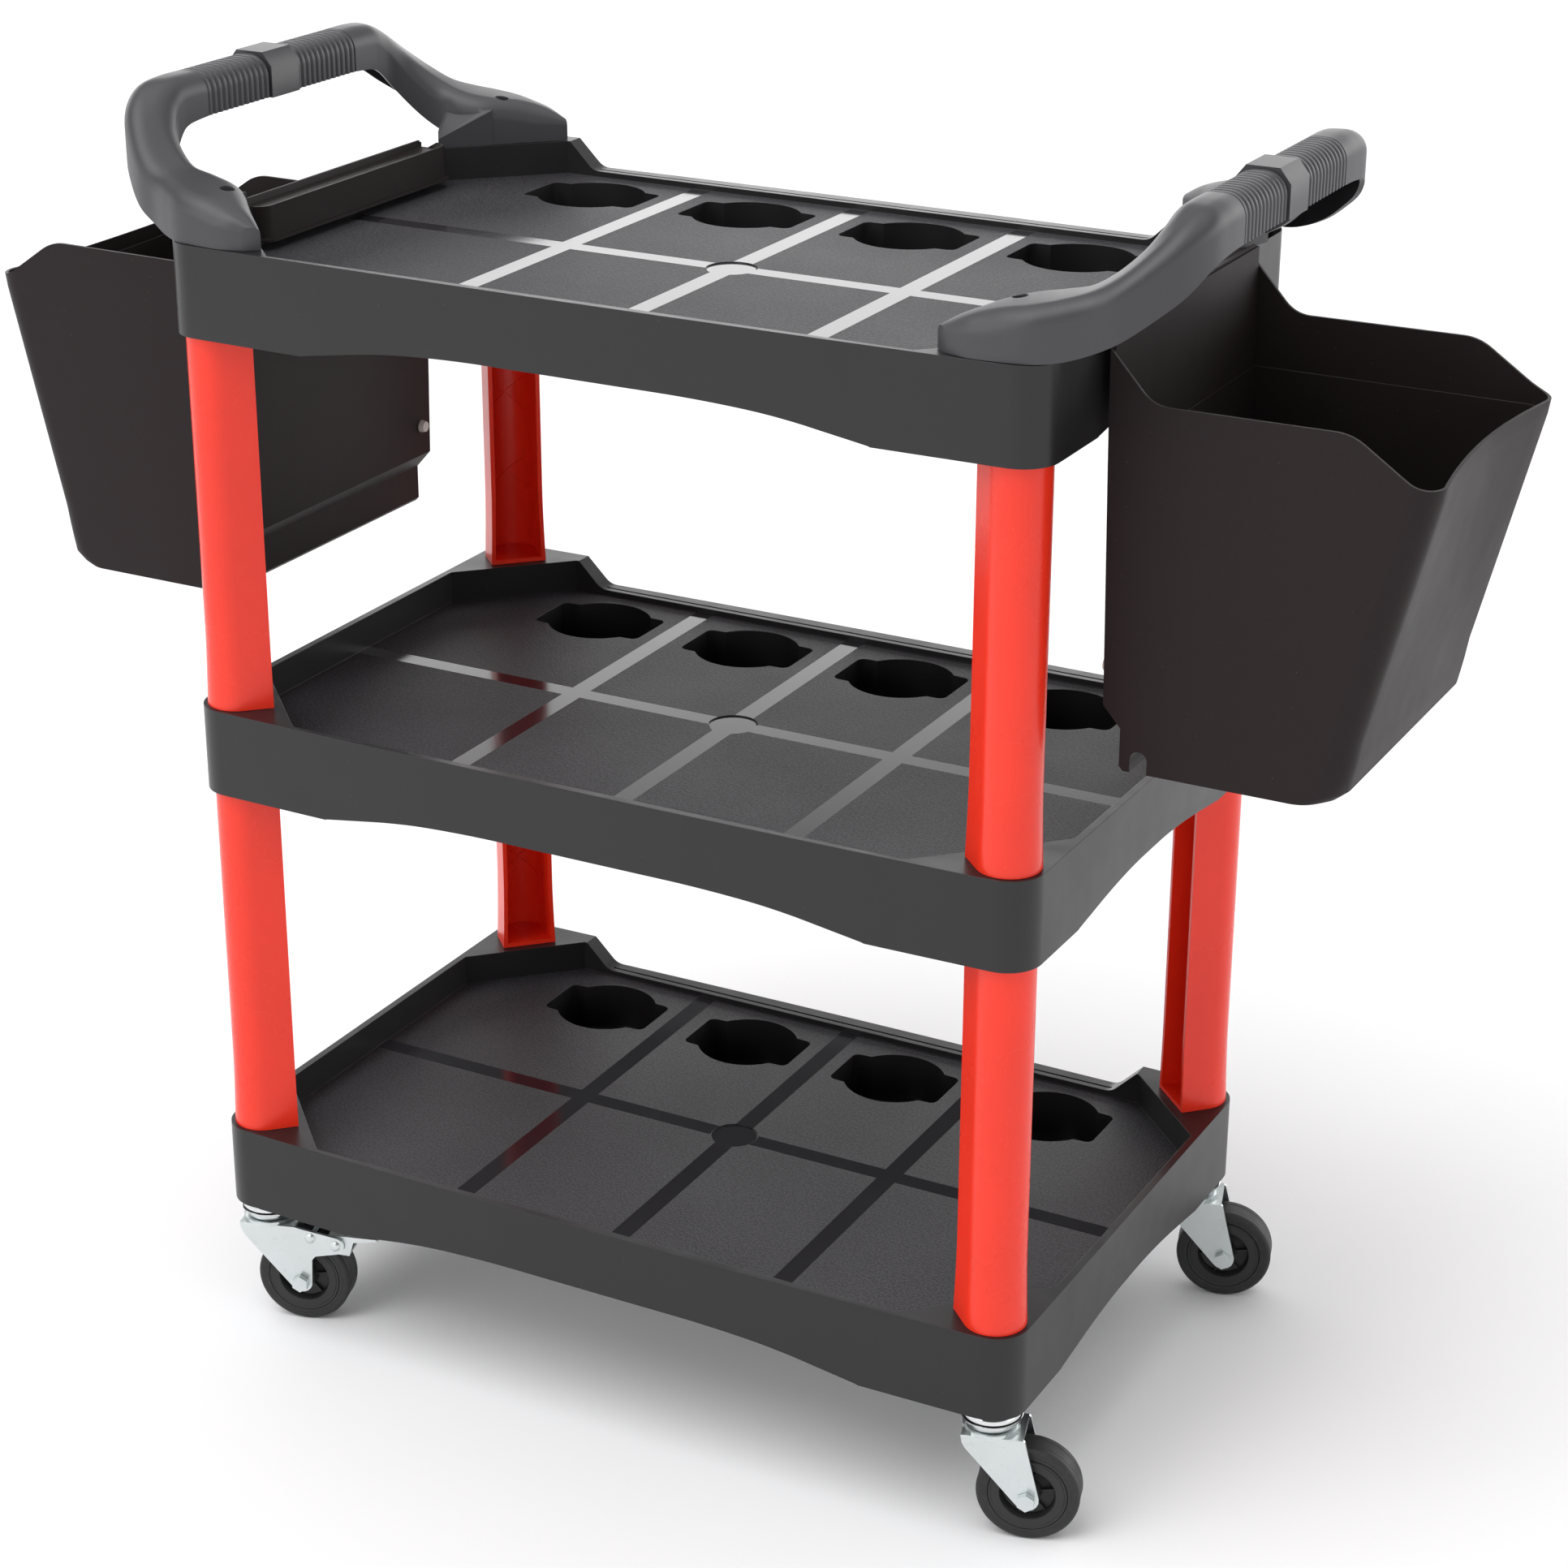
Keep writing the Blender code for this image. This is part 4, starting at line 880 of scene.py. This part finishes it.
def make_bin(side):
    sx = -1 if side == "left" else 1
    z, x0 = FLOOR_Z["top"], BIN_BACK_X
    shell = cut(bin_shell("hanging_bin_" + side, 0.0), bin_shell("inside", BIN_WALL))
    above = z + BIN_ABOVE
    rim = [(x0 + 0.0030, above), (x0 + 0.0030, z + 0.0160), (x0 + 0.0308, z - 0.0145),
           (x0 + 0.1620, z - 0.0138), (x0 + 0.2080, z - 0.0450), (x0 + 0.2600, z - 0.0450),
           (x0 + 0.2600, above)]
    rim = softened(rim, BIN_EDGE_SOFTNESS, 8, skip=(1, 5))
    shell = cut(shell, upright("rim", rim, -BIN_PAST, BIN_PAST))
    slope = [(x0 - 0.0100, above), (x0 - 0.0100, z + 0.0304), (x0 + 0.0305, z - 0.0142),
             (x0 + 0.0600, z - 0.0140), (x0 + 0.0600, above)]
    slope = softened(slope, BIN_EDGE_SOFTNESS, 8, skip=(1, 3))
    inside = BIN_HALF_Y - BIN_WALL - 0.0004
    for sy in (-1, 1):
        low, high = sorted((sy * inside, sy * BIN_PAST))
        shell = cut(shell, upright("slope", slope, low, high))
    groove_x, groove_z = x0 + BIN_GROOVE_X, z - BIN_GROOVE_TOP
    groove = [(groove_x - BIN_GROOVE_RADIUS, z - BIN_BELOW),
              (groove_x + BIN_GROOVE_RADIUS, z - BIN_BELOW)]
    groove += arc(groove_x, groove_z, BIN_GROOVE_RADIUS, 0, 180, 16)
    shell = cut(shell, upright("groove", groove, -BIN_PAST, BIN_PAST))
    shell = join(shell, make_hook(x0, z + RIM_HEIGHT + HOOK_LIFT))
    if sx < 0:
        place(shell, Matrix.Diagonal((-1.0, 1.0, 1.0, 1.0)))
    finish(shell, "bin_box_" + side, ["bin_" + side], [bin_black], angle=38.0)


# ---- casters -------------------------------------------------------------
def make_wheel(corner):
    """Tyre and hub, turned about the axle and laid along it."""
    centre = middle("tyre_" + corner)
    axis = AXIS[corner]
    yaw = math.atan2(centre.y - axis.y, centre.x - axis.x)
    radius = (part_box("tyre_" + corner)[1].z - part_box("tyre_" + corner)[0].z) / 2.0
    lay = Matrix.Translation(centre) @ Matrix.Rotation(yaw, 4, "Z")
    lay = lay @ Matrix.Rotation(math.radians(90.0), 4, "X")
    half, seat, lip = TYRE_HALF, HUB_SEAT, HUB_LIP

    side = [(seat + GAP, half - 0.0012), (seat + 0.0006, half - 0.0006),
            (radius - 0.0062, half - 0.0004), (radius - 0.0058, half - 0.0007)]
    side += arc(radius - TYRE_SHOULDER, half - 0.0038, TYRE_SHOULDER, 84, 4, 7)
    tread = [(radius - 0.0002, 0.0052), (radius - 0.0006, 0.0049), (radius - 0.0002, 0.0046)]
    profile = side + tread
    profile += [(r, -z) for r, z in reversed(profile)]
    tyre = turned("wheel_tyre_" + corner, profile, 112)
    place(tyre, lay)
    finish(tyre, "wheel_" + corner, ["tyre_" + corner], [tyre_black], bevel=0.0, angle=40.0)

    rim = half - 0.0004
    face = [(0.0043, half + 0.0022), (0.0080, half + 0.0022), (0.0086, half + 0.0016),
            (0.0094, 0.0045), (0.0100, 0.0038), (lip - 0.0024, 0.0035), (lip - 0.0014, 0.0042),
            (lip - 0.0004, rim - 0.0006), (lip + 0.0002, rim), (seat - 0.0022, rim),
            (seat - 0.0018, rim - 0.0005), (seat - 0.0010, rim - 0.0005), (seat, rim - 0.0001)]
    face += [(r, -z) for r, z in reversed(face)]
    hub = turned("wheel_hub_" + corner, face, 96)
    tip = lip - 0.0006
    for k in range(SPOKE_COUNT):
        outline = [(SPOKE_ROOT, -SPOKE_HALF), (tip, -SPOKE_HALF), (tip, SPOKE_HALF),
                   (SPOKE_ROOT, SPOKE_HALF)]
        spoke = plate("spoke", outline, -SPOKE_REACH, SPOKE_REACH)
        turn = math.radians(360.0 * k / SPOKE_COUNT + SPOKE_START)
        place(spoke, Matrix.Rotation(turn, 4, "Z"))
        hub = join(hub, spoke)
    place(hub, lay)
    finish(hub, "wheel_" + corner, ["hub_" + corner], [hub_black], bevel=0.0, angle=40.0)


def make_race(corner):
    """Bearing: a domed cup with a thin flange over a dished lower race, round the king pin."""
    axis = AXIS[corner]
    low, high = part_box("race_" + corner)
    reach = (high.x - low.x) / 2.0
    fork_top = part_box("fork_" + corner)[1].z
    foot = fork_top + GAP
    profile = [(0.0020, high.z), (0.0115, high.z), (0.0125, high.z - 0.0010),
               (0.0125, foot + 0.0152), (CUP_NECK, foot + CUP_BASE + CUP_RISE)]
    for i in range(1, 10):
        angle = math.radians(10.0 * i)
        profile.append((CUP_NECK + CUP_REACH * math.sin(angle),
                        foot + CUP_BASE + CUP_RISE * math.cos(angle)))
    profile += [(reach - 0.0006, foot + 0.0084), (reach, foot + 0.0079),
                (reach - 0.0004, foot + 0.0073), (reach - 0.0022, foot + 0.0070)]
    for i in range(10):
        angle = math.radians(10.0 * i)
        profile.append((DISH_NECK + DISH_REACH * math.cos(angle),
                        foot + DISH_RISE * (1.0 - math.sin(angle))))
    profile += [(0.0048, foot), (0.0048, low.z + 0.0037)]
    profile += [(0.0080, low.z + 0.0035), (0.0085, low.z + 0.0026), (0.0075, low.z + 0.0004),
                (0.0020, low.z)]
    cup = turned("bearing_" + corner, profile, 72)
    place(cup, Matrix.Translation((axis.x, axis.y, 0.0)))
    finish(cup, "cart", ["race_" + corner], [chrome], bevel=0.0, angle=40.0)


# ---- assembly ------------------------------------------------------------
for tier_name in FLOOR_Z:
    make_tray(tier_name)
for tier_name in ("lower", "upper"):
    for corner_name, (side_x, side_y) in CORNERS.items():
        make_leg(tier_name, corner_name, side_x, side_y)
for corner_name in CORNERS:
    make_wheel(corner_name)
    make_race(corner_name)
for side_name in ("left", "right"):
    make_handle(side_name)
    make_bin(side_name)

for node_name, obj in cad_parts.items():
    if obj.hide_render:
        continue
    mat = pale if node_name.startswith("bin_bumper") else zinc
    obj.data.materials.clear()
    obj.data.materials.append(mat)
    bevelled(obj, width=0.0004, angle=40.0)


# ---- studio --------------------------------------------------------------
# the glow above the horizon: its share on the -Y side, and where each part fades
FRONT_SHARE = 0.40
SIDE_FADE = (-0.2, 0.5)
BAND_FADE = (0.33, 0.43)
CEILING_FADE = (0.60, 0.80)


def make_floor(size):
    bm = bmesh.new()
    bmesh.ops.create_grid(bm, x_segments=1, y_segments=1, size=size)
    ground = from_bmesh("floor", bm)
    place(ground, Matrix.Translation((0.0, 0.0, CAD_BOX[0].z)))
    mat, tree, shader = new_material("studio_floor")
    shader.inputs["Base Color"].default_value = (0.86, 0.86, 0.87, 1.0)
    shader.inputs["Roughness"].default_value = 0.85
    ground.data.materials.append(mat)


def make_panel(name, place_at, aim, width, height, power):
    """Soft rectangular light at place_at, facing aim."""
    lamp = bpy.data.lights.new(name, "AREA")
    lamp.shape = "RECTANGLE"
    lamp.size, lamp.size_y = width, height
    lamp.energy = power
    obj = bpy.data.objects.new(name, lamp)
    bpy.context.scene.collection.objects.link(obj)
    obj.location = place_at
    obj.rotation_euler = (Vector(aim) - Vector(place_at)).to_track_quat("-Z", "Y").to_euler()


def make_world(horizon, middle_sky, ceiling):
    """Bright ceiling and a bright band above the horizon, strongest on the +Y side."""
    world = bpy.data.worlds.new("studio")
    world.use_nodes = True
    tree = world.node_tree
    split = node(tree, "SeparateXYZ", {"Vector": node(tree, "TexCoord").outputs["Generated"]})
    side = spread(tree, split.outputs["Y"], FRONT_SHARE, 1.0, *SIDE_FADE)
    band = spread(tree, split.outputs["Z"], horizon - middle_sky, 0.0, *BAND_FADE)
    band = maths(tree, "ADD", maths(tree, "MULTIPLY", band, side), middle_sky)
    top = spread(tree, split.outputs["Z"], 0.0, ceiling - middle_sky, *CEILING_FADE)
    glow = maths(tree, "ADD", band, top)
    tree.links.new(glow, tree.nodes["Background"].inputs["Strength"])
    tree.nodes["Background"].inputs["Color"].default_value = (1.0, 1.0, 1.0, 1.0)
    bpy.context.scene.world = world


def make_sun(power, angle, tilt_x, tilt_y):
    """Wide soft light from above, leaning by two angles in degrees."""
    lamp = bpy.data.lights.new("overhead", "SUN")
    lamp.energy = power
    lamp.angle = math.radians(angle)
    obj = bpy.data.objects.new("overhead", lamp)
    bpy.context.scene.collection.objects.link(obj)
    obj.rotation_euler = (math.radians(tilt_x), math.radians(tilt_y), 0.0)


make_floor(size=40.0)
make_world(horizon=2.70, middle_sky=0.08, ceiling=1.30)
make_sun(power=1.2, angle=46.0, tilt_x=22.0, tilt_y=-14.0)
make_panel("key", place_at=(-1.6, -3.2, 2.6), aim=(0.0, 0.0, 0.5),
           width=2.4, height=1.8, power=36.0)
scene = bpy.context.scene
scene.view_settings.view_transform = "Standard"
scene.view_settings.look = "None"
